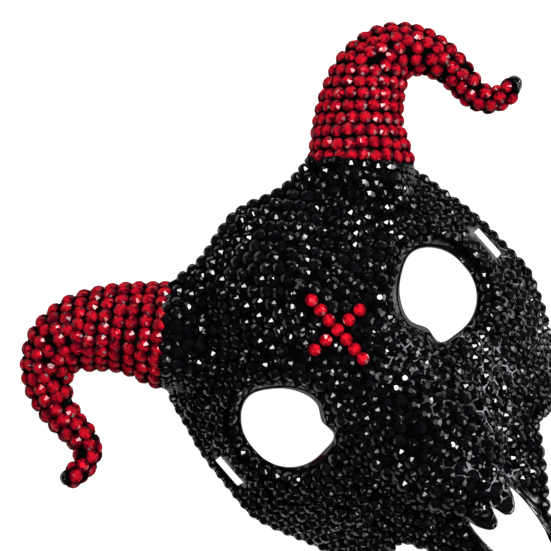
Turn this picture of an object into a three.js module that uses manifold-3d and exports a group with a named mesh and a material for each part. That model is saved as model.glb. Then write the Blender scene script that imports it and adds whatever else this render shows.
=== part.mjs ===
// Skull masquerade mask with two curled horns and a cross of stones on its forehead.
// It lies on its back rim with the face up. Millimetres; +X is the right side as it is looked at,
// +Y runs up to the forehead, +Z points out of the face, and the rim lies on z = 0.
import * as THREE from 'three';
import Module from 'manifold-3d';
import { mergeVertices } from 'three/addons/utils/BufferGeometryUtils.js';

const wasm = await Module();
wasm.setup();

// Driving dimensions of the face shell
const WALL = 2.4;
const GRID = 4.4;
const FACE_SPAN = { x: 84, low: -108, high: 84 };
const TOP_CLEARANCE = 90;

// Height of the crown line over the rim, at stations [y, z] down the middle of the face.
const CROWN = [
  [-108, 49], [-80, 55], [-60, 58.5], [-40, 59], [-15, 57], [10, 56.5],
  [32, 57], [50, 53.5], [65, 47.5], [76, 40.5], [86, 31],
];
// Half-width at which the dome would meet z = 0, at stations [y, x].
const REACH = [
  [-108, 62], [-90, 64], [-75, 66], [-62, 67.5], [-52, 67.5], [-45, 69.5], [-38, 73],
  [-28, 77.2], [-18, 80.5], [-5, 80.2], [10, 79.4], [25, 77], [40, 73.8], [52, 74], [64, 77], [86, 81],
];

// Right half of the outline, as smooth runs that meet in corners.
const TOP_EDGE = [[0, 81.6], [8, 80.3], [15, 77.9], [23, 76.3], [32, 76.6], [39.6, 78.4]];
const SIDE_EDGE = [
  [69.1, 46], [72.4, 40], [75, 27], [76.9, 19], [78, 9.5], [78.6, -2], [79.2, -12], [78.8, -20],
  [75.9, -28], [72.6, -35], [69, -42], [66.3, -48], [62.8, -55], [57.6, -61.4], [52, -64],
  [46, -64.2], [36.5, -62.5],
];
const ARM_OUTER = [
  [36.5, -62.5], [33.8, -67], [31, -71.2], [28, -75.4], [25, -79.4], [21.8, -83.6],
  [18.4, -87.8], [15.8, -91.2], [13.5, -95.2], [11.6, -99.4], [9.9, -102.8], [8.4, -103.2],
];
const ARM_INNER = [
  [8.4, -103.2], [8.7, -100], [10.2, -94.8], [11.2, -90], [11.8, -84.5], [11.7, -77], [10.6, -69.6],
];
const PRONG_EDGE = [
  [10.6, -69.6], [9.8, -73], [8.2, -76.4], [6.2, -79.2], [4.1, -80], [2.2, -78.4], [1.3, -75],
  [0, -71.6],
];
const EDGE_STEP = 4.2;
const FINE_STEP = 2.2;

// Eye holes: radii [degrees, mm] round the middle of the right one; the corner by the nose is drawn out.
const EYE = { x: 42, y: 3.3 };
const EYE_RADII = [
  [0, 16.7], [40, 17.7], [80, 18.9], [115, 16.6], [150, 16.3], [185, 17.2],
  [212, 16.4], [229, 21.2], [252, 19.6], [282, 18.8], [311, 18.2], [340, 17.3],
];
const EYE_SIDES = 36;
const ORBIT = { rise: 3.2, at: 7, spread: 5.5, browGain: 0.6, browAngle: 70 };
const SOCKET = { drop: 5.5, width: 5, rings: [-0.8, 4.6] };

// Ribbon slots in the temples.
const SLOT = { x: 73.5, width: 4.4, y: 2.2, length: 15.5 };

// Forehead crest, cheekbone, and the nasal strip that stands over the cheeks.
const CREST = { rise: 3, spread: 10, from: -5, full: 35 };
const CHEEKBONE = { rise: 3.5, x: 56, y: -33, acrossSpread: 15, alongSpread: 13 };
const CREASE = [
  [-108, 13], [-80, 11], [-70, 11.4], [-63, 14.5], [-54, 22], [-33, 26.8], [-12, 29], [10, 30],
];
const NASAL_RISE = [
  [-108, 9.5], [-80, 9.5], [-60, 8], [-40, 5.5], [-20, 3], [-5, 1], [8, 0], [86, 0],
];
const CREASE_HALF = 2;
// Dome height over which the relief fades out towards the rim.
const RIM_FADE = 12;
// Most that the wall's vertical depth grows on a steep place.
const STEEPEST = 3;

// Horns: stations along the right one, each
// [x, y, half-width, half-thickness, height of its back over the floor].
const HORN_STATIONS = [
  [54.4, 62.2, 21.9, 16.5, 7], [62.6, 74.0, 18.6, 15.6, 3], [72.7, 82.9, 16.7, 14.8, 0.8],
  [83.4, 88.6, 15.1, 13.6, 0], [94.4, 89.7, 12.4, 11.8, 0.2], [104.1, 83.8, 9.8, 9.6, 1.4],
  [109.2, 73.8, 7.6, 7.6, 3.4], [110.4, 63.2, 6.2, 6.1, 6], [109.9, 54.2, 5.5, 5.4, 9],
  [112.2, 47.6, 4.8, 4.7, 12], [118, 44.6, 4.2, 4.1, 15], [123.6, 45.4, 3.6, 3.6, 17.5],
];
const HORN_BASE_NORMAL = new THREE.Vector2(0.7411, 0.6716);
const HORN_TIP = { x: 126.8, y: 48, z: 22.4 };
const HORN_SIDES = 18;
const HORN_RINGS = 34;
const SEAM_GAP = 0.3;
const SEAM_BLEND = 1.2;
const TIP_FLAT = 0.2;
const SEAT_THICKNESS = 3;
const ROOT = { flare: 1.4, widening: 0.12, power: 5.5, sink: 11, length: 24, low: 6, blend: 5 };

// Cross of stones on the forehead, long arm down the middle.
const STONE = { radius: 2.5, girdle: 0.6, height: 2, table: 1.1, sides: 8 };
const CROSS_CENTRE = { x: 0.6, y: 19.3 };
const CROSS_LONG = { pitch: 5.15, steps: [-3, -2, -1, 0, 1, 2, 3] };
const CROSS_SHORT = { pitch: 5.85, steps: [-2, -1, 1, 2] };
const CROSS_LIFT = 0.8;

// Finishes
const blackLacquer = new THREE.MeshStandardMaterial({ color: '#0c0c0e', roughness: 0.18, metalness: 0 });
const redHorn = new THREE.MeshStandardMaterial({ color: '#8e0c18', roughness: 0.2, metalness: 0.1 });
const redStone = new THREE.MeshStandardMaterial({ color: '#e01224', roughness: 0.08, metalness: 0.3 });

const smooth = (low, high, t) => THREE.MathUtils.smoothstep(t, low, high);
const bump = (t, spread) => Math.exp(-((t / spread) ** 2));

// Smooth curve through stations [t, value], level before the first and after the last.
function along(stations, t) {
  const last = stations.length - 1;
  if (t <= stations[0][0]) return stations[0][1];
  if (t >= stations[last][0]) return stations[last][1];
  const slope = (i) => {
    const a = stations[Math.max(i - 1, 0)];
    const b = stations[Math.min(i + 1, last)];
    return (b[1] - a[1]) / (b[0] - a[0]);
  };
  let i = 0;
  while (t > stations[i + 1][0]) i += 1;
  const [t0, v0] = stations[i];
  const [t1, v1] = stations[i + 1];
  const h = t1 - t0;
  const u = (t - t0) / h;
  const rest = 1 - u;
  return v0 * (1 + 2 * u) * rest * rest + v1 * u * u * (3 - 2 * u)
    + slope(i) * h * u * rest * rest - slope(i + 1) * h * u * u * rest;
}

// Radius of an eye hole in a direction given in degrees, the same after a full turn.
const EYE_ROUND = [-360, 0, 360].flatMap((turn) => EYE_RADII.map(([angle, r]) => [angle + turn, r]));
function eyeRadius(degrees) {
  return along(EYE_ROUND, THREE.MathUtils.euclideanModulo(degrees, 360));
}

// Distance outside the edge of the eye hole, negative inside it, and the direction from its middle.
function eyeDistance(side, y) {
  const dx = side - EYE.x;
  const dy = y - EYE.y;
  const degrees = THREE.MathUtils.radToDeg(Math.atan2(dy, dx));
  return { distance: Math.hypot(dx, dy) - eyeRadius(degrees), degrees };
}

// Root of the horn as it comes out of the dome: a rounded ridge along the horn's axis.
const [ROOT_X, ROOT_Y, ROOT_HALF, ROOT_THICK, ROOT_BACK] = HORN_STATIONS[0];
function hornRoot(side, y) {
  const dx = side - ROOT_X;
  const dy = y - ROOT_Y;
  const inward = -(dx * HORN_BASE_NORMAL.x + dy * HORN_BASE_NORMAL.y);
  const across = dx * HORN_BASE_NORMAL.y - dy * HORN_BASE_NORMAL.x;
  const half = ROOT_HALF + ROOT.flare + ROOT.widening * Math.max(inward, 0);
  const top = ROOT_BACK + 2 * ROOT_THICK - ROOT.sink * (Math.max(inward, 0) / ROOT.length) ** 2;
  return Math.max(top, ROOT.low) * (1 - Math.min(Math.abs(across) / half, 1.2) ** ROOT.power);
}

// Larger of two heights, with the valley between them rounded.
function smoothMax(a, b, blend) {
  const h = Math.max(blend - Math.abs(a - b), 0) / blend;
  return Math.max(a, b) + h * h * blend * 0.25;
}

// Height of the outer face of the shell over the rim.
function faceHeight(x, y) {
  const side = Math.abs(x);
  const dome = along(CROWN, y) * (1 - (side / along(REACH, y)) ** 2);
  const crest = CREST.rise * Math.exp(-side / CREST.spread) * smooth(CREST.from, CREST.full, y);
  const cheek = CHEEKBONE.rise * bump(side - CHEEKBONE.x, CHEEKBONE.acrossSpread)
    * bump(y - CHEEKBONE.y, CHEEKBONE.alongSpread);
  const crease = along(CREASE, y);
  const strip = 1 - smooth(crease - CREASE_HALF, crease + CREASE_HALF, side);
  const nasal = along(NASAL_RISE, y) * strip;
  const eye = eyeDistance(side, y);
  const brow = 1 + ORBIT.browGain * Math.cos(THREE.MathUtils.degToRad(eye.degrees - ORBIT.browAngle));
  const orbit = ORBIT.rise * brow * bump(eye.distance - ORBIT.at, ORBIT.spread);
  const socket = SOCKET.drop * (1 - smooth(0, SOCKET.width, eye.distance));
  const rimFade = smooth(0, RIM_FADE, dome);
  const face = dome + (crest + cheek + nasal + orbit) * rimFade - socket;
  return smoothMax(face, hornRoot(side, y), ROOT.blend);
}

// The wall's vertical depth that gives its true thickness on a sloping place.
function wallDepth(x, y) {
  const e = 0.5;
  const sx = (faceHeight(x + e, y) - faceHeight(x - e, y)) / (2 * e);
  const sy = (faceHeight(x, y + e) - faceHeight(x, y - e)) / (2 * e);
  return WALL * Math.min(Math.hypot(1, sx, sy), STEEPEST);
}

function toSolid(geometry) {
  const bare = geometry.index ? geometry.toNonIndexed() : geometry.clone();
  bare.deleteAttribute('normal');
  bare.deleteAttribute('uv');
  const merged = mergeVertices(bare, 1e-4);
  return new wasm.Manifold(new wasm.Mesh({
    numProp: 3,
    vertProperties: new Float32Array(merged.attributes.position.array),
    triVerts: new Uint32Array(merged.index.array),
  }));
}

function toGeometry(solid) {
  const mesh = solid.getMesh();
  const geometry = new THREE.BufferGeometry();
  geometry.setAttribute('position', new THREE.BufferAttribute(new Float32Array(mesh.vertProperties), 3));
  geometry.setIndex(Array.from(mesh.triVerts));
  const flat = geometry.toNonIndexed();
  flat.computeVertexNormals();
  return flat;
}

// Closed skin through rings of points, each ring with the same number of points, its two ends capped.
function skin(rings) {
  const sides = rings[0].length;
  const positions = rings.flat().flatMap((p) => [p.x, p.y, p.z]);
  const index = [];
  for (let r = 0; r + 1 < rings.length; r += 1) {
    for (let s = 0; s < sides; s += 1) {
      const a = r * sides + s;
      const b = r * sides + ((s + 1) % sides);
      index.push(a, b, a + sides, b, b + sides, a + sides);
    }
  }
  const lastRing = (rings.length - 1) * sides;
  for (let s = 1; s + 1 < sides; s += 1) {
    index.push(0, s + 1, s);
    index.push(lastRing, lastRing + s, lastRing + s + 1);
  }
  const geometry = new THREE.BufferGeometry();
  geometry.setAttribute('position', new THREE.Float32BufferAttribute(positions, 3));
  geometry.setIndex(index);
  return geometry;
}

// A grid place drawn on to the nearest ring round its eye hole, so that the socket's wall is even.
function settle(x, y) {
  const side = Math.abs(x);
  const { distance, degrees } = eyeDistance(side, y);
  for (const ring of SOCKET.rings) {
    if (Math.abs(distance - ring) < GRID / 2) {
      const radius = eyeRadius(degrees) + ring;
      const angle = THREE.MathUtils.degToRad(degrees);
      return [Math.sign(x) * (EYE.x + radius * Math.cos(angle)), EYE.y + radius * Math.sin(angle)];
    }
  }
  return [x, y];
}

// The face as one sheet with true wall thickness, wider than its outline: an outer and an inner
// grid, and a band round them.
function faceSheet() {
  const columns = Math.round((2 * FACE_SPAN.x) / GRID);
  const rows = Math.round((FACE_SPAN.high - FACE_SPAN.low) / GRID);
  const positions = [];
  for (const layer of [0, 1]) {
    for (let j = 0; j <= rows; j += 1) {
      for (let i = 0; i <= columns; i += 1) {
        const across = -FACE_SPAN.x + (2 * FACE_SPAN.x * i) / columns;
        const up = FACE_SPAN.low + ((FACE_SPAN.high - FACE_SPAN.low) * j) / rows;
        const [x, y] = settle(across, up);
        positions.push(x, y, faceHeight(x, y) - layer * wallDepth(x, y));
      }
    }
  }
  const width = columns + 1;
  const under = width * (rows + 1);
  const at = (i, j) => j * width + i;
  const index = [];
  for (let j = 0; j < rows; j += 1) {
    for (let i = 0; i < columns; i += 1) {
      const [a, b, c, d] = [at(i, j), at(i + 1, j), at(i + 1, j + 1), at(i, j + 1)];
      const rising = (i < columns / 2) === (j < rows / 2);
      const halves = rising ? [[a, b, d], [b, c, d]] : [[a, b, c], [a, c, d]];
      for (const [p, q, r] of halves) {
        index.push(p, q, r);
        index.push(under + p, under + r, under + q);
      }
    }
  }
  const band = [];
  for (let i = 0; i < columns; i += 1) band.push(at(i, 0));
  for (let j = 0; j < rows; j += 1) band.push(at(columns, j));
  for (let i = columns; i > 0; i -= 1) band.push(at(i, rows));
  for (let j = rows; j > 0; j -= 1) band.push(at(0, j));
  band.forEach((p, k) => {
    const q = band[(k + 1) % band.length];
    index.push(p, under + p, q, q, under + p, under + q);
  });
  const geometry = new THREE.BufferGeometry();
  geometry.setAttribute('position', new THREE.Float32BufferAttribute(positions, 3));
  geometry.setIndex(index);
  return geometry;
}

// Evenly spaced points on a smooth run, without its last point.
function runPoints(run, step) {
  const curve = new THREE.SplineCurve(run.map(([x, y]) => new THREE.Vector2(x, y)));
  const parts = Math.max(2, Math.round(curve.getLength() / step));
  return curve.getSpacedPoints(parts).slice(0, parts);
}

function prism(points, low, high) {
  const shape = new THREE.Shape(points);
  const geometry = new THREE.ExtrudeGeometry(shape, { depth: high - low, bevelEnabled: false });
  return toSolid(geometry.translate(0, 0, low));
}

// Everything inside the outline of the mask, from the floor up.
function outlineSolid() {
  const right = [
    ...runPoints(TOP_EDGE, EDGE_STEP),
    new THREE.Vector2(...TOP_EDGE.at(-1)),
    ...runPoints(SIDE_EDGE, EDGE_STEP),
    ...runPoints(ARM_OUTER, EDGE_STEP),
    ...runPoints(ARM_INNER, EDGE_STEP),
    ...runPoints(PRONG_EDGE, FINE_STEP),
    new THREE.Vector2(...PRONG_EDGE.at(-1)),
  ];
  const left = right.slice(1, -1).reverse().map((p) => new THREE.Vector2(-p.x, p.y));
  return prism([...right, ...left].reverse(), 0, TOP_CLEARANCE);
}

function eyeSolid(hand) {
  const points = [];
  for (let k = 0; k < EYE_SIDES; k += 1) {
    const degrees = (360 * k) / EYE_SIDES - 1;
    const angle = THREE.MathUtils.degToRad(degrees);
    const radius = eyeRadius(degrees);
    const x = EYE.x + radius * Math.cos(angle);
    points.push(new THREE.Vector2(hand * x, EYE.y + radius * Math.sin(angle)));
  }
  return prism(hand > 0 ? points : points.reverse(), -5, TOP_CLEARANCE);
}

function slotSolid(hand) {
  const box = new THREE.BoxGeometry(SLOT.width, SLOT.length, TOP_CLEARANCE);
  return toSolid(box.translate(hand * SLOT.x, SLOT.y, TOP_CLEARANCE / 2 - 5));
}

// Plate that closes the shell at a horn's root and carries the horn.
function seatSolid(hand) {
  const plate = new THREE.CylinderGeometry(1, 1, SEAT_THICKNESS, HORN_SIDES);
  plate.scale(ROOT_HALF, 1, ROOT_THICK);
  const heading = Math.atan2(HORN_BASE_NORMAL.y, hand * HORN_BASE_NORMAL.x);
  plate.rotateZ(heading - Math.PI / 2);
  const back = SEAT_THICKNESS / 2;
  const x = hand * (ROOT_X - back * HORN_BASE_NORMAL.x);
  const y = ROOT_Y - back * HORN_BASE_NORMAL.y;
  return toSolid(plate.translate(x, y, ROOT_BACK + ROOT_THICK));
}

function maskShell() {
  let shell = toSolid(faceSheet()).intersect(outlineSolid());
  for (const hand of [1, -1]) {
    shell = shell.subtract(eyeSolid(hand)).subtract(slotSolid(hand)).add(seatSolid(hand));
  }
  return new THREE.Mesh(toGeometry(shell), blackLacquer);
}

// A horn: oval rings along a curved line, flat where it meets its seat and rounded at the tip.
function horn(hand) {
  const line = [
    ...HORN_STATIONS.map(([x, y, , thick, back]) => new THREE.Vector3(x, y, back + thick)),
    new THREE.Vector3(HORN_TIP.x, HORN_TIP.y, HORN_TIP.z),
  ];
  line[0].x += SEAM_GAP * HORN_BASE_NORMAL.x;
  line[0].y += SEAM_GAP * HORN_BASE_NORMAL.y;
  const path = new THREE.CatmullRomCurve3(line, false, 'centripetal');
  const seamNormal = new THREE.Vector3(HORN_BASE_NORMAL.x, HORN_BASE_NORMAL.y, 0);
  const lastStation = HORN_STATIONS.length - 1;
  const halves = HORN_STATIONS.map(([, , half], i) => [i, half]);
  const thicks = HORN_STATIONS.map(([, , , thick], i) => [i, thick]);
  const rings = [];
  for (let r = 0; r <= HORN_RINGS; r += 1) {
    const t = r / HORN_RINGS;
    const station = t * (lastStation + 1);
    const centre = path.getPoint(t);
    const forward = seamNormal.clone().lerp(path.getTangent(t), smooth(0, SEAM_BLEND, station));
    const across = new THREE.Vector3(forward.y, -forward.x, 0).normalize();
    const up = new THREE.Vector3().crossVectors(across, forward).normalize();
    const round = Math.max(Math.sqrt(1 - Math.max(station - lastStation, 0) ** 2), TIP_FLAT);
    const half = along(halves, station) * round;
    const thick = along(thicks, station) * round;
    const ring = [];
    for (let s = 0; s < HORN_SIDES; s += 1) {
      const angle = (-2 * Math.PI * s * hand) / HORN_SIDES;
      const point = centre.clone()
        .addScaledVector(across, half * Math.cos(angle))
        .addScaledVector(up, thick * Math.sin(angle));
      point.x *= hand;
      ring.push(point);
    }
    rings.push(ring);
  }
  return new THREE.Mesh(toGeometry(toSolid(skin(rings))), redHorn);
}

// One faceted stone, flat below, standing on z = 0.
function stoneGeometry() {
  const ring = (radius, z) => Array.from({ length: STONE.sides }, (_, k) => {
    const angle = (2 * Math.PI * k) / STONE.sides;
    return new THREE.Vector3(radius * Math.cos(angle), radius * Math.sin(angle), z);
  });
  const { radius, girdle, table, height } = STONE;
  return toGeometry(toSolid(skin([ring(radius, 0), ring(radius, girdle), ring(table, height)])));
}

function crossStone(name, x, y) {
  const stone = new THREE.Mesh(stoneGeometry(), redStone);
  const e = 1;
  const sx = (faceHeight(x + e, y) - faceHeight(x - e, y)) / (2 * e);
  const sy = (faceHeight(x, y + e) - faceHeight(x, y - e)) / (2 * e);
  const normal = new THREE.Vector3(-sx, -sy, 1).normalize();
  stone.quaternion.setFromUnitVectors(new THREE.Vector3(0, 0, 1), normal);
  stone.position.set(x, y, faceHeight(x, y)).addScaledVector(normal, CROSS_LIFT);
  stone.name = name;
  return stone;
}

const mask = new THREE.Group();

const shell = maskShell();
shell.name = 'mask_shell';
mask.add(shell);

for (const [name, hand] of [['horn_right', 1], ['horn_left', -1]]) {
  const piece = horn(hand);
  piece.name = name;
  mask.add(piece);
}

const crossPlaces = [
  ...CROSS_LONG.steps.map((k) => [CROSS_CENTRE.x, CROSS_CENTRE.y + k * CROSS_LONG.pitch]),
  ...CROSS_SHORT.steps.map((k) => [CROSS_CENTRE.x + k * CROSS_SHORT.pitch, CROSS_CENTRE.y]),
];
crossPlaces.forEach(([x, y], k) => {
  mask.add(crossStone(`cross_stone_${String(k + 1).padStart(2, '0')}`, x, y));
});

export default mask;
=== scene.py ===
"""Looks of the skull masquerade mask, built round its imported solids.

The face and the two horns are moulded plastic under black lacquer, and almost all of it is covered
with glued flat-back stones: black ones on the face, red ones on the horns and in a cross on the
forehead. The shapes repeat the driving dimensions of the part's source, in millimetres, and every
mesh is made in metres in the frame of the solids.
"""
import logging
import math
from collections.abc import Callable
from dataclasses import dataclass
from enum import Enum, IntEnum

import bpy
import numpy as np
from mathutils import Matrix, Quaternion, Vector
from mathutils.bvhtree import BVHTree


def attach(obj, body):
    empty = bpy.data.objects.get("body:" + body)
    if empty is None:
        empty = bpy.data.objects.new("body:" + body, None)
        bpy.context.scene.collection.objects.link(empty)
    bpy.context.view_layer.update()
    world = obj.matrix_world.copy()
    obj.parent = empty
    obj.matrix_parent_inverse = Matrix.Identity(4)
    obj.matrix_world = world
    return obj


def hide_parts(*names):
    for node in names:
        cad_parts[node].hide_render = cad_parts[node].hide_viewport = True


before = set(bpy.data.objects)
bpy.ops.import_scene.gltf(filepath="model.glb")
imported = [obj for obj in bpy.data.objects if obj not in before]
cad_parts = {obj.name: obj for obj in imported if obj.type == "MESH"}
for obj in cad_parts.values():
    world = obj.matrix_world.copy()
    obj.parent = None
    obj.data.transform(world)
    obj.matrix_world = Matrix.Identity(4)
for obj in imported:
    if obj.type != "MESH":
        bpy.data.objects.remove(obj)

LOG = logging.getLogger("mask")
MM = 0.001
BODY = "root"
# Places handled at once where each is set against every piece of a line.
BATCH = 1500
# Least size of what something is divided by.
TINY = 1e-12
Stations = tuple[tuple[float, ...], ...]


class Slot(Enum):
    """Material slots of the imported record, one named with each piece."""

    SHELL = "shell"
    HORN = "horn"
    RED_STONE = "red_stone"


class Seed(IntEnum):
    """Starts of the random numbers; a horn adds the sign of x there and the cross its stone's order."""

    FIELD = 11
    FIELD_TILT = 12
    BLACK_STONES = 21
    CROSS_TILT = 31
    CROSS_STONES = 41
    HORN_FIELD = 51
    HORN_STONES = 61


class Hand(Enum):
    """Side of the mask as it is looked at; the value is the sign of x there."""

    RIGHT = 1
    LEFT = -1


def smoothstep(low: float, high: float, value: np.ndarray) -> np.ndarray:
    """Cubic step: 0 up to low, 1 from high on, and 3t^2 - 2t^3 between them."""
    t = np.clip((value - low) / (high - low), 0, 1)
    return t * t * (3 - 2 * t)


def bump(value: np.ndarray, spread: float) -> np.ndarray:
    """Bell curve of height 1: e to the minus (value over spread) squared."""
    return np.exp(-((value / spread) ** 2))


def unit(vectors: np.ndarray) -> np.ndarray:
    """Vectors cut to length 1, along the last axis."""
    return vectors / np.maximum(np.linalg.norm(vectors, axis=-1, keepdims=True), TINY)


def along(stations: Stations, value: np.ndarray) -> np.ndarray:
    """Smooth curve through stations, level beyond its two ends.

    Formula: between two stations a cubic Hermite curve, whose slope at a station is that of the
    straight line through the stations on either side of it.

    Args:
        stations: pairs of a place and the value there, in rising order of place.
        value: the places asked for.

    Returns:
        The values of the curve at those places.
    """
    place, height = np.array(stations, float).T
    last = len(place) - 1
    order = np.arange(last + 1)
    before, after = np.maximum(order - 1, 0), np.minimum(order + 1, last)
    slope = (height[after] - height[before]) / (place[after] - place[before])
    t = np.clip(value, place[0], place[-1])
    i = np.clip(np.searchsorted(place, t) - 1, 0, last - 1)
    h = place[i + 1] - place[i]
    u = (t - place[i]) / h
    rest = 1 - u
    ends = height[i] * (1 + 2 * u) * rest**2 + height[i + 1] * u**2 * (3 - 2 * u)
    return ends + slope[i] * h * u * rest**2 - slope[i + 1] * h * u**2 * rest


def uphill(measure: Callable[[np.ndarray, np.ndarray], np.ndarray], flat: np.ndarray,
           step: float) -> np.ndarray:
    """Flat directions in which a measure grows fastest.

    Args:
        measure: a value from x and y.
        flat: the places, one row each.
        step: half the length over which the growth is taken.

    Returns:
        Directions of length 1.
    """
    x, y = flat.T
    return unit(np.stack([measure(x + step, y) - measure(x - step, y),
                          measure(x, y + step) - measure(x, y - step)], 1))


def run_along(line: np.ndarray) -> np.ndarray:
    """Length of a line of points up to each of them."""
    return np.concatenate([[0], np.cumsum(np.linalg.norm(np.diff(line, axis=0), axis=1))])


def spaced(path: np.ndarray, pitch: float, closed: bool = False) -> np.ndarray:
    """Places at even steps along a line of points.

    Args:
        path: points of the line.
        pitch: wanted step; the real one fits a whole number of times.
        closed: whether the line goes back to its first point.

    Returns:
        The places, with both ends on an open line.
    """
    line = np.concatenate([path, path[:1]]) if closed else path
    run = run_along(line)
    count = max(round(run[-1] / pitch), 1)
    steps = np.linspace(0, run[-1], count + 1)
    steps = steps[:-1] if closed else steps
    return np.stack([np.interp(steps, run, line[:, k]) for k in range(line.shape[1])], 1)


def apart(places: np.ndarray, least: float) -> np.ndarray:
    """Thins places out.

    Args:
        places: the places in order.
        least: the least distance that may be left.

    Returns:
        The places without those too close to one kept before them.
    """
    kept: list[np.ndarray] = []
    for place in places:
        if not kept or np.linalg.norm(np.array(kept) - place, axis=1).min() >= least:
            kept.append(place)
    return np.array(kept)


def linear(hex_colour: str, alpha: float = 1.0) -> tuple[float, float, float, float]:
    """Linear colour of an sRGB hex value, by the standard's own curve.

    Args:
        hex_colour: the sRGB value with its leading mark.
        alpha: opacity put behind the three colours.

    Returns:
        Red, green, blue and alpha, linear, from 0 to 1.
    """
    srgb = [int(hex_colour[i : i + 2], 16) / 255 for i in (1, 3, 5)]
    colour = [c / 12.92 if c <= 0.04045 else ((c + 0.055) / 1.055) ** 2.4 for c in srgb]
    return colour[0], colour[1], colour[2], alpha


def linked(name: str, data: bpy.types.ID) -> bpy.types.Object:
    """Puts data into the scene.

    Args:
        name: name of the new object.
        data: its mesh, lamp or camera.

    Returns:
        The object.
    """
    made = bpy.data.objects.new(name, data)
    bpy.context.scene.collection.objects.link(made)
    return made


@dataclass(frozen=True)
class EyeHole:
    """Edge of the right eye hole; the left one mirrors it."""

    x: float = 42
    y: float = 3.3
    radii: Stations = (
        (0, 16.7), (40, 17.7), (80, 18.9), (115, 16.6), (150, 16.3), (185, 17.2),
        (212, 16.4), (229, 21.2), (252, 19.6), (282, 18.8), (311, 18.2), (340, 17.3),
    )

    def radius(self, degrees: np.ndarray) -> np.ndarray:
        """Radius in directions in degrees, the same after a full turn."""
        turns = [(a + turn, r) for turn in (-360, 0, 360) for a, r in self.radii]
        return along(tuple(turns), np.mod(degrees, 360))

    def place(self, side: np.ndarray, y: np.ndarray) -> tuple[np.ndarray, np.ndarray]:
        """Where places lie against the edge.

        Args:
            side: distance of the places from the middle plane.
            y: their height up the face.

        Returns:
            Distance outside the edge, negative in the hole, and the direction in degrees.
        """
        dx, dy = side - self.x, y - self.y
        degrees = np.degrees(np.arctan2(dy, dx))
        return np.hypot(dx, dy) - self.radius(degrees), degrees


@dataclass(frozen=True)
class HornSize:
    """Driving dimensions of the right horn; the left one mirrors it.

    A station holds x, y, half-width, half-thickness and the height of the back over the floor.
    """

    stations: Stations = (
        (54.4, 62.2, 21.9, 16.5, 7), (62.6, 74.0, 18.6, 15.6, 3), (72.7, 82.9, 16.7, 14.8, 0.8),
        (83.4, 88.6, 15.1, 13.6, 0), (94.4, 89.7, 12.4, 11.8, 0.2), (104.1, 83.8, 9.8, 9.6, 1.4),
        (109.2, 73.8, 7.6, 7.6, 3.4), (110.4, 63.2, 6.2, 6.1, 6), (109.9, 54.2, 5.5, 5.4, 9),
        (112.2, 47.6, 4.8, 4.7, 12), (118, 44.6, 4.2, 4.1, 15), (123.6, 45.4, 3.6, 3.6, 17.5),
    )
    tip: tuple[float, float, float] = (126.8, 48, 22.4)
    base_normal: tuple[float, float] = (0.7411, 0.6716)
    seam_gap: float = 0.3
    seam_blend: float = 1.2


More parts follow.
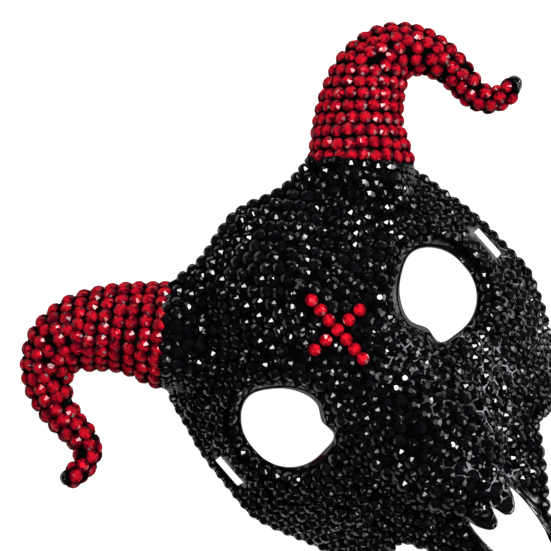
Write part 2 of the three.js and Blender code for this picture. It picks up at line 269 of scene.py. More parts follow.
@dataclass(frozen=True)
class FaceShape:
    """Height of the face's outer side over the rim, from the same values as the part's source."""

    wall: float = 2.4
    crown: Stations = (
        (-108, 49), (-80, 55), (-60, 58.5), (-40, 59), (-15, 57), (10, 56.5),
        (32, 57), (50, 53.5), (65, 47.5), (76, 40.5), (86, 31),
    )
    reach: Stations = (
        (-108, 62), (-90, 64), (-75, 66), (-62, 67.5), (-52, 67.5), (-45, 69.5), (-38, 73),
        (-28, 77.2), (-18, 80.5), (-5, 80.2), (10, 79.4), (25, 77), (40, 73.8), (52, 74),
        (64, 77), (86, 81),
    )
    crease: Stations = (
        (-108, 13), (-80, 11), (-70, 11.4), (-63, 14.5), (-54, 22), (-33, 26.8), (-12, 29), (10, 30),
    )
    nasal_rise: Stations = (
        (-108, 9.5), (-80, 9.5), (-60, 8), (-40, 5.5), (-20, 3), (-5, 1), (8, 0), (86, 0),
    )
    crease_half: float = 2
    crest_rise: float = 3
    crest_spread: float = 10
    crest_starts: tuple[float, float] = (-5, 35)
    cheek_rise: float = 3.5
    cheek: tuple[float, float] = (56, -33)
    cheek_spread: tuple[float, float] = (15, 13)
    orbit_rise: float = 3.2
    orbit_at: float = 7
    orbit_spread: float = 5.5
    brow_gain: float = 0.6
    brow_angle: float = 70
    socket_drop: float = 5.5
    socket_width: float = 5
    root_power: float = 5.5
    root_flare: float = 1.4
    root_widening: float = 0.12
    root_sink: float = 11
    root_length: float = 24
    root_low: float = 6
    root_blend: float = 5
    root_cut: float = 1.2
    relief_fade: float = 12
    slant_limit: float = 3
    eye: EyeHole = EyeHole()
    horn: HornSize = HornSize()

    def horn_root(self, side: np.ndarray, y: np.ndarray) -> np.ndarray:
        """Ridge in which a horn comes out of the dome.

        Formula: its top falls with the square of the way inward from the seam, and it ends at the
        sides by one minus the share of the half-width raised to a high power.

        Args:
            side: distance of the places from the middle plane.
            y: their height up the face.

        Returns:
            Height of the ridge, negative beside it.
        """
        root_x, root_y, half, thick, back = self.horn.stations[0]
        nx, ny = self.horn.base_normal
        dx, dy = side - root_x, y - root_y
        inward = np.maximum(-(dx * nx + dy * ny), 0)
        across = np.abs(dx * ny - dy * nx)
        width = half + self.root_flare + self.root_widening * inward
        top = back + 2 * thick - self.root_sink * (inward / self.root_length) ** 2
        share = np.minimum(across / width, self.root_cut)
        return np.maximum(top, self.root_low) * (1 - share**self.root_power)

    def height(self, x: np.ndarray, y: np.ndarray) -> np.ndarray:
        """Height of the outer side.

        Formula: a dome, crown times one minus (side over reach) squared, plus a crest down the
        forehead, cheekbones, the raised nasal strip and a rim round each eye, less the socket's fall
        at the hole, and joined by a rounded valley to the ridge that carries the horn.

        Args:
            x: places across the face.
            y: places up the face.

        Returns:
            Height over the rim's plane.
        """
        side = np.abs(x)
        dome = along(self.crown, y) * (1 - (side / along(self.reach, y)) ** 2)
        crest = self.crest_rise * np.exp(-side / self.crest_spread) * smoothstep(*self.crest_starts, y)
        cheek = self.cheek_rise * bump(side - self.cheek[0], self.cheek_spread[0])
        cheek = cheek * bump(y - self.cheek[1], self.cheek_spread[1])
        crease = along(self.crease, y)
        strip = 1 - smoothstep(crease - self.crease_half, crease + self.crease_half, side)
        away, degrees = self.eye.place(side, y)
        brow = 1 + self.brow_gain * np.cos(np.radians(degrees - self.brow_angle))
        orbit = self.orbit_rise * brow * bump(away - self.orbit_at, self.orbit_spread)
        socket = self.socket_drop * (1 - smoothstep(0, self.socket_width, away))
        relief = crest + cheek + along(self.nasal_rise, y) * strip + orbit
        face = dome + relief * smoothstep(0, self.relief_fade, dome) - socket
        root = self.horn_root(side, y)
        meet = np.maximum(self.root_blend - np.abs(face - root), 0) / self.root_blend
        return np.maximum(face, root) + meet**2 * self.root_blend / 4

    def slope(self, x: np.ndarray, y: np.ndarray, step: float = 0.5) -> tuple[np.ndarray, np.ndarray]:
        """How steep the outer side is.

        Args:
            x: places across the face.
            y: places up the face.
            step: half the length over which the rise is taken.

        Returns:
            Rise per millimetre towards +x and towards +y.
        """
        rise_x = self.height(x + step, y) - self.height(x - step, y)
        rise_y = self.height(x, y + step) - self.height(x, y - step)
        return rise_x / (2 * step), rise_y / (2 * step)

    def depth(self, x: np.ndarray, y: np.ndarray) -> np.ndarray:
        """Wall measured straight down, so that it is one wall thick across a sloping place."""
        slope_x, slope_y = self.slope(x, y)
        return self.wall * np.minimum(np.sqrt(1 + slope_x**2 + slope_y**2), self.slant_limit)


@dataclass(frozen=True)
class Outline:
    """Edge of the mask seen from the front: smooth runs that meet in corners, right half."""

    top: Stations = ((0, 81.6), (8, 80.3), (15, 77.9), (23, 76.3), (32, 76.6), (39.6, 78.4))
    side: Stations = (
        (69.1, 46), (72.4, 40), (75, 27), (76.9, 19), (78, 9.5), (78.6, -2), (79.2, -12),
        (78.8, -20), (75.9, -28), (72.6, -35), (69, -42), (66.3, -48), (62.8, -55), (57.6, -61.4),
        (52, -64), (46, -64.2), (36.5, -62.5),
    )
    arm_outer: Stations = (
        (36.5, -62.5), (33.8, -67), (31, -71.2), (28, -75.4), (25, -79.4), (21.8, -83.6),
        (18.4, -87.8), (15.8, -91.2), (13.5, -95.2), (11.6, -99.4), (9.9, -102.8), (8.4, -103.2),
    )
    arm_inner: Stations = (
        (8.4, -103.2), (8.7, -100), (10.2, -94.8), (11.2, -90), (11.8, -84.5), (11.7, -77),
        (10.6, -69.6),
    )
    prong: Stations = (
        (10.6, -69.6), (9.8, -73), (8.2, -76.4), (6.2, -79.2), (4.1, -80), (2.2, -78.4), (1.3, -75),
        (0, -71.6),
    )
    slot_x: float = 73.5
    slot_y: float = 2.2
    slot_width: float = 4.4
    slot_length: float = 15.5
    step: float = 1.4
    fineness: int = 20
    eye: EyeHole = EyeHole()

    def run(self, points: Stations) -> np.ndarray:
        """Evenly stepped points on the smooth curve through one run.

        Args:
            points: stations of the run, x and y.

        Returns:
            The points, without the run's last one.
        """
        order = np.arange(len(points))
        xs = tuple((i, p[0]) for i, p in zip(order, points))
        ys = tuple((i, p[1]) for i, p in zip(order, points))
        fine = np.linspace(0, order[-1], self.fineness * len(points))
        curve = np.stack([along(xs, fine), along(ys, fine)], axis=1)
        run = run_along(curve)
        parts = max(2, round(run[-1] / self.step))
        even = np.linspace(0, run[-1], parts, endpoint=False)
        return np.stack([np.interp(even, run, curve[:, k]) for k in (0, 1)], axis=1)

    def right_half(self) -> np.ndarray:
        """Outline from the top of the forehead down the right side to the notch under the nose.

        Returns:
            The points, with both ends.
        """
        seam = (self.top[-1], self.side[0])
        runs = (self.top, seam, self.side, self.arm_outer, self.arm_inner, self.prong)
        return np.concatenate([*[self.run(points) for points in runs], [self.prong[-1]]])

    def closed(self) -> np.ndarray:
        """Whole outline, the right half followed by its mirror image upwards."""
        right = self.right_half()
        return np.concatenate([right, right[-2:0:-1] * (-1, 1)])

    def inside(self, x: np.ndarray, y: np.ndarray) -> np.ndarray:
        """Distance inside the outline, negative outside it.

        Formula: the least distance to any straight piece of the outline, with the sign from the
        number of pieces that a line from the place crosses.

        Args:
            x: places across the face.
            y: places up the face.

        Returns:
            The distances.
        """
        a = self.closed()
        b = np.roll(a, -1, axis=0)
        way = b - a
        result = []
        for points in np.array_split(np.stack([x.ravel(), y.ravel()], axis=1), 1 + x.size // BATCH):
            gap = points[:, None] - a
            share = np.clip((gap * way).sum(2) / (way**2).sum(1), 0, 1)
            near = np.sqrt((((gap - share[..., None] * way)) ** 2).sum(2).min(1))
            spans = (a[:, 1] > points[:, None, 1]) != (b[:, 1] > points[:, None, 1])
            rise = np.where(way[:, 1] == 0, TINY, way[:, 1])
            crossing = a[:, 0] + gap[..., 1] * way[:, 0] / rise
            odd = (spans & (points[:, None, 0] < crossing)).sum(1) % 2
            result.append(np.where(odd == 1, near, -near))
        return np.concatenate(result).reshape(x.shape)

    def slot(self, x: np.ndarray, y: np.ndarray) -> np.ndarray:
        """Distance from the ribbon slots.

        Formula: that from a box, the length of the overhang beyond its sides or the greater of the
        two negative ones within it.

        Args:
            x: places across the face.
            y: places up the face.

        Returns:
            The distances, negative within a slot.
        """
        dx = np.abs(np.abs(x) - self.slot_x) - self.slot_width / 2
        dy = np.abs(y - self.slot_y) - self.slot_length / 2
        return np.hypot(np.maximum(dx, 0), np.maximum(dy, 0)) + np.minimum(np.maximum(dx, dy), 0)

    def material(self, x: np.ndarray, y: np.ndarray) -> np.ndarray:
        """Distance into the material, negative outside the outline and in each hole."""
        away, _ = self.eye.place(np.abs(x), y)
        return np.minimum(np.minimum(self.inside(x, y), away), self.slot(x, y))


class Skin:
    """A closed surface in millimetres, with places and normals found on it."""

    glue_ends: tuple[float, float] = (4.0, 5.2)
    batches: int = 40

    def __init__(self, points: np.ndarray, faces: np.ndarray) -> None:
        """Keeps the surface and a search tree of it.

        Args:
            points: vertices, one row each.
            faces: triangles, with outward order.
        """
        self.points = points
        self.faces = faces
        self.tree = BVHTree.FromPolygons(points.tolist(), faces.tolist())

    def nearest(self, places: np.ndarray) -> tuple[np.ndarray, np.ndarray]:
        """Nearest places on the surface and the surface's normals there."""
        found = [self.tree.find_nearest(Vector(place)) for place in places]
        return np.array([f[0] for f in found]), np.array([f[1] for f in found])

    def scatter(self, spacing: float, seed: int) -> np.ndarray:
        """Random places all over the surface, about a spacing apart.

        Formula: a triangle is drawn with a chance equal to its share of the area, and the place in
        it is a mix of its corners with the square root of a random number.

        Args:
            spacing: mean distance between neighbours.
            seed: start of the random numbers.

        Returns:
            The places, one row each.
        """
        rng = np.random.default_rng(seed)
        a, b, c = (self.points[self.faces[:, k]] for k in range(3))
        area = np.linalg.norm(np.cross(b - a, c - a), axis=1) / 2
        count = int(area.sum() / spacing**2)
        chosen = rng.choice(len(area), count, p=area / area.sum())
        root, share = np.sqrt(rng.random((count, 1))), rng.random((count, 1))
        return (1 - root) * a[chosen] + root * (1 - share) * b[chosen] + root * share * c[chosen]

    def to_object(self, name: str, stones: np.ndarray) -> bpy.types.Object:
        """Smooth-shaded object of the surface, in metres, in the scene.

        Args:
            name: name of the piece.
            stones: middles of the stones glued to it; its attribute is 1 away from all of them.

        Returns:
            The piece.
        """
        mesh = bpy.data.meshes.new(name)
        mesh.from_pydata((self.points * MM).tolist(), [], self.faces.tolist())
        mesh.shade_smooth()
        away = np.concatenate([np.linalg.norm(part[:, None] - stones, axis=2).min(1)
                               for part in np.array_split(self.points, self.batches)])
        bare = mesh.attributes.new("bare", "FLOAT", "POINT")
        bare.data.foreach_set("value", smoothstep(*self.glue_ends, away).astype(np.float32))
        return linked(name, mesh)


@dataclass(frozen=True)
class SheetCutter:
    """Cuts a flat grid of triangles along the line where a distance is 0."""

    step: float = 1.3
    snap: float = 0.28
    snaps: int = 2
    probe: float = 0.05

    def grid(self, low: tuple[float, float], high: tuple[float, float]) -> tuple[np.ndarray, np.ndarray]:
        """Flat grid over a box.

        Args:
            low: least x and y.
            high: greatest x and y.

        Returns:
            Its places and its triangles, anticlockwise.
        """
        columns, rows = (math.ceil((h - l) / self.step) for l, h in zip(low, high))
        x, y = np.meshgrid(np.linspace(low[0], high[0], columns + 1),
                           np.linspace(low[1], high[1], rows + 1))
        at = np.arange(x.size).reshape(x.shape)
        a, b, c, d = at[:-1, :-1], at[:-1, 1:], at[1:, 1:], at[1:, :-1]
        leaning = (np.add.outer(np.arange(rows), np.arange(columns)) % 2 == 0)[..., None, None]
        one = np.stack([np.stack([a, b, c], -1), np.stack([a, c, d], -1)], 2)
        other = np.stack([np.stack([a, b, d], -1), np.stack([b, c, d], -1)], 2)
        return np.stack([x.ravel(), y.ravel()], 1), np.where(leaning, one, other).reshape(-1, 3)

    def cut(self, outline: Outline, low: tuple[float, float], high: tuple[float, float]) -> tuple[
            np.ndarray, np.ndarray]:
        """Grid of the places that have material, with its edge on the line itself.

        Formula: grid places close to the line are moved on to it along the rise of the distance, a
        triangle that the line crosses is cut where the distance, taken as straight along its sides,
        is 0, and what lies outside falls away.

        Args:
            outline: gives the distance into the material.
            low: least x and y of the grid.
            high: greatest x and y of the grid.

        Returns:
            Flat places and triangles.
        """
        places, triangles = self.grid(low, high)
        inside = outline.material(places[:, 0], places[:, 1])
        near = np.flatnonzero(np.abs(inside) < self.snap * self.step)
        for _ in range(self.snaps):
            here = outline.material(*places[near].T)
            places[near] -= here[:, None] * uphill(outline.material, places[near], self.probe)
        inside[near] = 0
        corners = inside[triangles]
        kept = (corners >= 0).all(1) & (outline.material(*places[triangles].mean(1).T) > 0)
        crossed = (corners < 0).any(1) & (corners > 0).any(1)
        cut_places, cut_triangles = self.clip(places, triangles[crossed], inside)
        every = np.concatenate([triangles[kept], cut_triangles])
        used, renumbered = np.unique(every, return_inverse=True)
        return cut_places[used], renumbered.reshape(-1, 3)

    @staticmethod
    def clip(places: np.ndarray, triangles: np.ndarray, inside: np.ndarray) -> tuple[
            np.ndarray, np.ndarray]:
        """Inner parts of triangles that the line crosses.

        Args:
            places: flat places of the grid.
            triangles: triangles with a corner on either side of the line.
            inside: distance into the material at each place.

        Returns:
            The places with the crossings added at their end, and the triangles.
        """
        out = inside[triangles] < 0
        lone_out = out.sum(1) == 1
        lone = np.where(lone_out, out.argmax(1), (~out).argmax(1))
        turned = np.take_along_axis(triangles, (lone[:, None] + [0, 1, 2]) % 3, 1)
        sides = np.concatenate([turned[:, [0, 1]], turned[:, [0, 2]]])
        keys, number = np.unique(np.sort(sides, 1), axis=0, return_inverse=True)
        first, second = inside[keys[:, 0]], inside[keys[:, 1]]
        share = (first / (first - second))[:, None]
        crossings = places[keys[:, 0]] * (1 - share) + places[keys[:, 1]] * share
        on_line = np.where(first == 0, keys[:, 0], np.where(second == 0, keys[:, 1], -1))
        identity = np.where(on_line >= 0, on_line, len(places) + np.arange(len(keys)))
        ab, ac = identity[number.reshape(-1)].reshape(2, -1)
        a, b, c = turned.T
        tips = np.stack([a, ab, ac], 1)[~lone_out]
        lower = np.stack([ab, b, c], 1)[lone_out]
        upper = np.stack([ab, c, ac], 1)[lone_out]
        made = np.concatenate([tips, lower, upper])
        whole = (made[:, 0] != made[:, 1]) & (made[:, 1] != made[:, 2]) & (made[:, 2] != made[:, 0])
        return np.concatenate([places, crossings]), made[whole]


@dataclass(frozen=True)
class FaceSkin:
    """The moulded face: outer and inner side of one sheet, joined by a rounded lip at each edge."""

    shape: FaceShape = FaceShape()
    outline: Outline = Outline()
    cutter: SheetCutter = SheetCutter()
    low: tuple[float, float] = (-84, -108)
    high: tuple[float, float] = (84, 84)
    lip: float = 0.55
    lip_rows: int = 4
    probe: float = 0.2
    least_top: float = 0.15

    def build(self) -> Skin:
        """Closed skin of the face.

        Formula: the outer side is the height over a flat place and the inner side lies the wall's
        depth under it, never under the floor. Between them the lip's rows go down in equal turns of
        a half circle, pushed out of the material by the lip times the sine of the turn.

        Returns:
            The skin, in millimetres.
        """
        flat, triangles = self.cutter.cut(self.outline, self.low, self.high)
        x, y = flat.T
        top = np.maximum(self.shape.height(x, y), self.least_top)
        under = np.maximum(top - self.shape.depth(x, y), 0)
        count = len(flat)
        sides = np.concatenate([triangles[:, [0, 1]], triangles[:, [1, 2]], triangles[:, [2, 0]]])
        coded = sides[:, 0] * count + sides[:, 1]
        edge = sides[~np.isin(coded, sides[:, 1] * count + sides[:, 0])]
        rim = np.unique(edge)
        place_in_rim = np.full(count, -1)
        place_in_rim[rim] = np.arange(len(rim))
        out = -uphill(self.outline.material, flat[rim], self.probe)
        layers = [np.column_stack([flat, top]), np.column_stack([flat, under])]
        starts = []
        for row in range(1, self.lip_rows):
            turn = math.pi * row / self.lip_rows
            share = (1 - math.cos(turn)) / 2
            pushed = flat[rim] + out * self.lip * math.sin(turn)
            starts.append(2 * count + (row - 1) * len(rim))
            layers.append(np.column_stack([pushed, top[rim] * (1 - share) + under[rim] * share]))
        rows = [edge, *[start + place_in_rim[edge] for start in starts], count + edge]
        bands = []
        for upper, lower in zip(rows[:-1], rows[1:]):
            bands.append(np.column_stack([upper[:, 0], lower[:, 0], upper[:, 1]]))
            bands.append(np.column_stack([upper[:, 1], lower[:, 0], lower[:, 1]]))
        faces = np.concatenate([triangles, count + triangles[:, ::-1], *bands])
        return Skin(np.concatenate(layers), faces)


@dataclass(frozen=True)
class HornSkin:
    """A horn as moulded: oval rings carried along a curved line, closed at the seam and the tip."""

    hand: Hand
    size: HornSize = HornSize()
    sides: int = 48
    rings: int = 120
    probe: float = 0.01
    least_shrink: float = 0.01

    def centre(self, station: np.ndarray) -> np.ndarray:
        """Middle line at a station.

        Formula: a cubic through the stations whose tangents are worked out from the square roots
        of the distances between them, so that it doesn't loop where they lie close.

        Args:
            station: places along the horn, in stations.

        Returns:
            Points of the line, in millimetres.
        """
        line = np.array([(x, y, back + thick) for x, y, _, thick, back in self.size.stations]
                        + [self.size.tip])
        line[0, :2] += self.size.seam_gap * np.array(self.size.base_normal)
        line = np.concatenate([[2 * line[0] - line[1]], line, [2 * line[-1] - line[-2]]])
        gap = np.sqrt(np.linalg.norm(np.diff(line, axis=0), axis=1))[:, None]
        i = np.clip(np.floor(station).astype(int), 0, len(line) - 4)
        t = (station - i)[:, None]
        p0, p1, p2, p3 = (line[i + k] for k in range(4))
        g0, g1, g2 = (gap[i + k] for k in range(3))
        start = ((p1 - p0) / g0 - (p2 - p0) / (g0 + g1) + (p2 - p1) / g1) * g1
        end = ((p2 - p1) / g1 - (p3 - p1) / (g1 + g2) + (p3 - p2) / g2) * g1
        return (p1 * (2 * t**3 - 3 * t**2 + 1) + p2 * (3 * t**2 - 2 * t**3)
                + start * (t**3 - 2 * t**2 + t) + end * (t**3 - t**2))

    def frame(self, station: np.ndarray) -> tuple[np.ndarray, np.ndarray, np.ndarray]:
        """How each ring stands.

        Args:
            station: places along the horn, in stations.

        Returns:
            Middles of the rings and their sideways and upward directions.
        """
        ahead = self.centre(np.minimum(station + self.probe, len(self.size.stations)))
        forward = unit(ahead - self.centre(np.maximum(station - self.probe, 0)))
        seam = np.array([*self.size.base_normal, 0])
        forward = seam + (forward - seam) * smoothstep(0, self.size.seam_blend, station)[:, None]
        across = unit(np.stack([forward[:, 1], -forward[:, 0], np.zeros(len(station))], 1))
        return self.centre(station), across, unit(np.cross(across, forward))

    def radii(self, station: np.ndarray) -> tuple[np.ndarray, np.ndarray]:
        """Size of each ring, without the tip's rounding.

        Args:
            station: places along the horn, in stations.

        Returns:
            Half-widths and half-thicknesses.
        """
        last = len(self.size.stations) - 1
        halves = tuple((i, s[2]) for i, s in enumerate(self.size.stations))
        thicks = tuple((i, s[3]) for i, s in enumerate(self.size.stations))
        level = np.minimum(station, last)
        return along(halves, level), along(thicks, level)

    def points(self, station: np.ndarray, angle: np.ndarray, shrink: np.ndarray) -> np.ndarray:
        """Places on the surface.

        Formula: the ring's middle, plus its half-width times the cosine of the angle sideways, plus
        its half-thickness times the sine upwards, both cut by the shrink, with x turned for the hand.

        Args:
            station: place along the horn, in stations.
            angle: place round the ring, in radians; a quarter turn is the front.
            shrink: share of the ring's radii.

        Returns:
            The places, in millimetres.
        """
        centre, across, up = self.frame(station)
        half, thick = self.radii(station)
        sideways = across * (half * shrink * np.cos(angle))[:, None]
        upward = up * (thick * shrink * np.sin(angle))[:, None]
        return (centre + sideways + upward) * (self.hand.value, 1, 1)

    def build(self) -> Skin:
        """Closed skin: rings up to the tip, where their radii fall as a quarter circle does.

        Returns:
            The skin, in millimetres.
        """
        last = len(self.size.stations) - 1
        station = np.linspace(0, last + 1, self.rings)
        shrink = np.sqrt(np.maximum(1 - np.maximum(station - last, 0) ** 2, self.least_shrink**2))
        ring, spoke = np.meshgrid(np.arange(self.rings), np.arange(self.sides), indexing="ij")
        angle = 2 * math.pi * spoke.ravel() / self.sides
        points = self.points(station[ring.ravel()], angle, shrink[ring.ravel()])
        caps = np.stack([points[: self.sides].mean(0), points[-self.sides :].mean(0)])
        a = (ring[:-1] * self.sides + spoke[:-1]).ravel()
        b = (ring[:-1] * self.sides + (spoke[:-1] + 1) % self.sides).ravel()
        c, d = b + self.sides, a + self.sides
        start, end = len(points), len(points) + 1
        walls = np.concatenate([np.stack([a, b, c], 1), np.stack([a, c, d], 1)])
        first = np.arange(self.sides)
        after = (first + 1) % self.sides
        tip = (self.rings - 1) * self.sides
        faces = np.concatenate([
            walls,
            np.stack([np.full(self.sides, start), after, first], 1),
            np.stack([np.full(self.sides, end), tip + first, tip + after], 1),
        ])
        if self.hand is Hand.RIGHT:
            faces = faces[:, ::-1]
        return Skin(np.concatenate([points, caps]), faces)


@dataclass(frozen=True)
class StoneCut:
    """One flat-back stone: thin girdle, small lower facets, long main facets and a table."""

    radius: float = 2.68
    foot: float = 0.96
    girdle_top: float = 0.4
    shoulder: float = 0.93
    shoulder_top: float = 0.74
    table: float = 0.38
    height: float = 1.62
    mains: int = 10
    pillow: float = 0.07
    dome: float = 0.9
    flattest: float = 0.1
    side_gloss: float = 0.11
    top_gloss: float = 0.9

    def ring(self, turn: np.ndarray, share: float, level: float) -> np.ndarray:
        """Corners of one ring: cosine and sine of the turns times its radius, at its level."""
        radius = share * self.radius
        return np.stack([radius * np.cos(turn), radius * np.sin(turn), np.full(len(turn), level)], 1)

    def points(self) -> np.ndarray:
        """Corners, ring by ring: back, girdle, shoulder of the main facets, and table.

        Returns:
            The corners in millimetres, with the back's middle at the origin.
        """
        even = math.pi * np.arange(2 * self.mains) / self.mains
        mains = even[::2]
        return np.concatenate([
            self.ring(even, self.foot, 0),
            self.ring(even, 1, self.girdle_top),
            self.ring(mains, self.shoulder, self.shoulder_top),
            self.ring(mains, self.table, self.height),
        ])

    def facets(self) -> list[list[int]]:
        """Faces by their corners: back, girdle, three lower facets to each main, and table.

        Returns:
            Corner numbers of each face, anticlockwise from outside.
        """
        n, m = 2 * self.mains, self.mains
        girdle, shoulder = n, 2 * n
        faces = [list(range(n))[::-1]]
        faces += [[k, (k + 1) % n, girdle + (k + 1) % n, girdle + k] for k in range(n)]
        for k in range(m):
            here, after, odd = shoulder + k, shoulder + (k + 1) % m, girdle + 2 * k + 1
            faces.append([girdle + 2 * k, odd, here])
            faces.append([odd, girdle + (2 * k + 2) % n, after])
            faces.append([here, odd, after])
            faces.append([here, after, after + m, here + m])
        faces.append([shoulder + m + k for k in range(m)])
        return faces

    def front(self) -> np.ndarray:
        """Share of the foil behind each face that shows: all in a main facet, none at the side; the red
        finish also paints shade on a side facet by it.

        Returns:
            The shares, in the faces' order.
        """
        back_and_girdle = [0.0] * (1 + 2 * self.mains)
        lower_and_main = [0.0, 0.0, 0.0, 1.0] * self.mains
        table = [1.0]
        return np.array(back_and_girdle + lower_and_main + table)

    def gloss(self) -> np.ndarray:
        """Gloss of each face: little on the girdle and the lower facets, which the glue smears."""
        return self.side_gloss + (self.top_gloss - self.side_gloss) * self.front()

    def corner_normals(self) -> np.ndarray:
        """Shading normals, one for each corner of each face, in the faces' order.

        Formula: the face's own normal plus the pillow times the normal of a smooth dome at that
        corner, because moulded facets bulge a little between their edges.

        Returns:
            Normals of length 1.
        """
        points, found = self.points(), []
        dome = unit(points * (1, 1, self.dome) + (0, 0, self.dome))
        for face in self.facets():
            a, b, c = points[face[0]], points[face[1]], points[face[2]]
            flat = unit(np.cross(b - a, c - b))
            bulge = self.pillow if flat[2] > self.flattest else 0.0
            found.append(unit(flat * (1 - bulge) + dome[face] * bulge))
        return np.concatenate(found)


@dataclass(frozen=True)
class StoneSeats:
    """Where stones sit: middles of their backs and the directions that they face."""

    places: np.ndarray
    normals: np.ndarray

    def split(self, chosen: np.ndarray) -> "StoneSeats":
        """The seats that are chosen."""
        return StoneSeats(self.places[chosen], self.normals[chosen])


@dataclass(frozen=True)
class StonePacker:
    """Packs stones side by side on a skin, as they are glued: from the edge rows inwards."""

    pitch: float = 5.0
    spacing: float = 0.6
    rounds: int = 16
    edge_pull: float = 0.12
    push: float = 0.22
    far: float = 1e3
    probe: float = 2.1
    probes: int = 6
    sink: float = 0.15
    rest_range: tuple[float, float] = (-0.5, 0.6)
    upright: float = 0.8

    def fill(self, rows: np.ndarray, candidates: np.ndarray, edge: np.ndarray) -> np.ndarray:
        """Adds stones in the pockets between those already laid until none fits.

        Formula: the next stone goes where the mean of the distances to its two nearest neighbours,
        plus a small share of the distance to the edge, is least and no neighbour is closer than
        the pitch.

        Args:
            rows: places laid beforehand.
            candidates: places that may take a stone.
            edge: distance of each candidate from the edge.

        Returns:
            The places that were added.
        """
        first = np.full(len(candidates), self.far)
        second = first.copy()
        added = []
        for place in list(rows) + [None] * len(candidates):
            if place is None:
                score = (first + second) / 2 + self.edge_pull * edge
                score[first < self.pitch] = np.inf
                best = int(score.argmin())
                if np.isinf(score[best]):
                    break
                place = candidates[best]
                added.append(place)
            away = np.linalg.norm(candidates - place, axis=1)
            second = np.minimum(second, np.maximum(first, away))
            first = np.minimum(first, away)
        return np.array(added).reshape(-1, 3)

    def relax(self, skin: Skin, rows: np.ndarray, loose: np.ndarray, reach: float) -> np.ndarray:
        """Evens out the gaps between the added stones.

        Formula: in each round a stone is pushed from every neighbour closer than the reach by a
        share of what is missing, and drawn back on to the skin.

        Args:
            skin: what the stones sit on.
            rows: places that stay.
            loose: places that may move.
            reach: distance up to which neighbours push.

        Returns:
            The moved places.
        """
        for _ in range(self.rounds):
            others = np.concatenate([loose, rows])
            gap = loose[:, None] - others
            away = np.linalg.norm(gap, axis=2)
            away[away == 0] = self.far
            push = self.push * np.maximum(reach - away, 0) / away
            loose, _ = skin.nearest(loose + (gap * push[..., None]).sum(1))
        return loose

    def seat(self, skin: Skin, places: np.ndarray, seed: int, tilt: float = 2.5) -> StoneSeats:
        """Rests each stone on the skin under its rim.

        Formula: the plane through the skin's places nearest to probes round the stone, fitted by
        least squares, tipped by a random small turn; the back lies the sink under its middle.

        Args:
            skin: what the stones sit on.
            places: middles of the stones.
            seed: start of the random numbers.
            tilt: usual tip in degrees.

        Returns:
            The seats.
        """
        rng = np.random.default_rng(seed)
        normal = unit(skin.nearest(places)[1])
        helper = np.where(np.abs(normal[:, :1]) > self.upright, [[0, 1, 0]], [[1, 0, 0]])
        axes = [unit(np.cross(normal, helper))]
        axes.append(np.cross(normal, axes[0]))
        turn = 2 * math.pi * np.arange(self.probes) / self.probes
        waves = (np.cos(turn), np.sin(turn))
        around = sum(axis[:, None] * wave[:, None] for axis, wave in zip(axes, waves))
        touched, _ = skin.nearest((places[:, None] + self.probe * around).reshape(-1, 3))
        height = ((touched.reshape(around.shape) - places[:, None]) * normal[:, None]).sum(2)
        facing = normal
        for axis, wave in zip(axes, waves):
            lean = (height * wave).sum(1) / (self.probes / 2) / self.probe
            lean += rng.normal(0, math.radians(tilt), len(places))
            facing = facing - axis * lean[:, None]
        facing = unit(facing)
        rest = np.clip(height.mean(1), *self.rest_range) - self.sink
        return StoneSeats(places + facing * rest[:, None], facing)


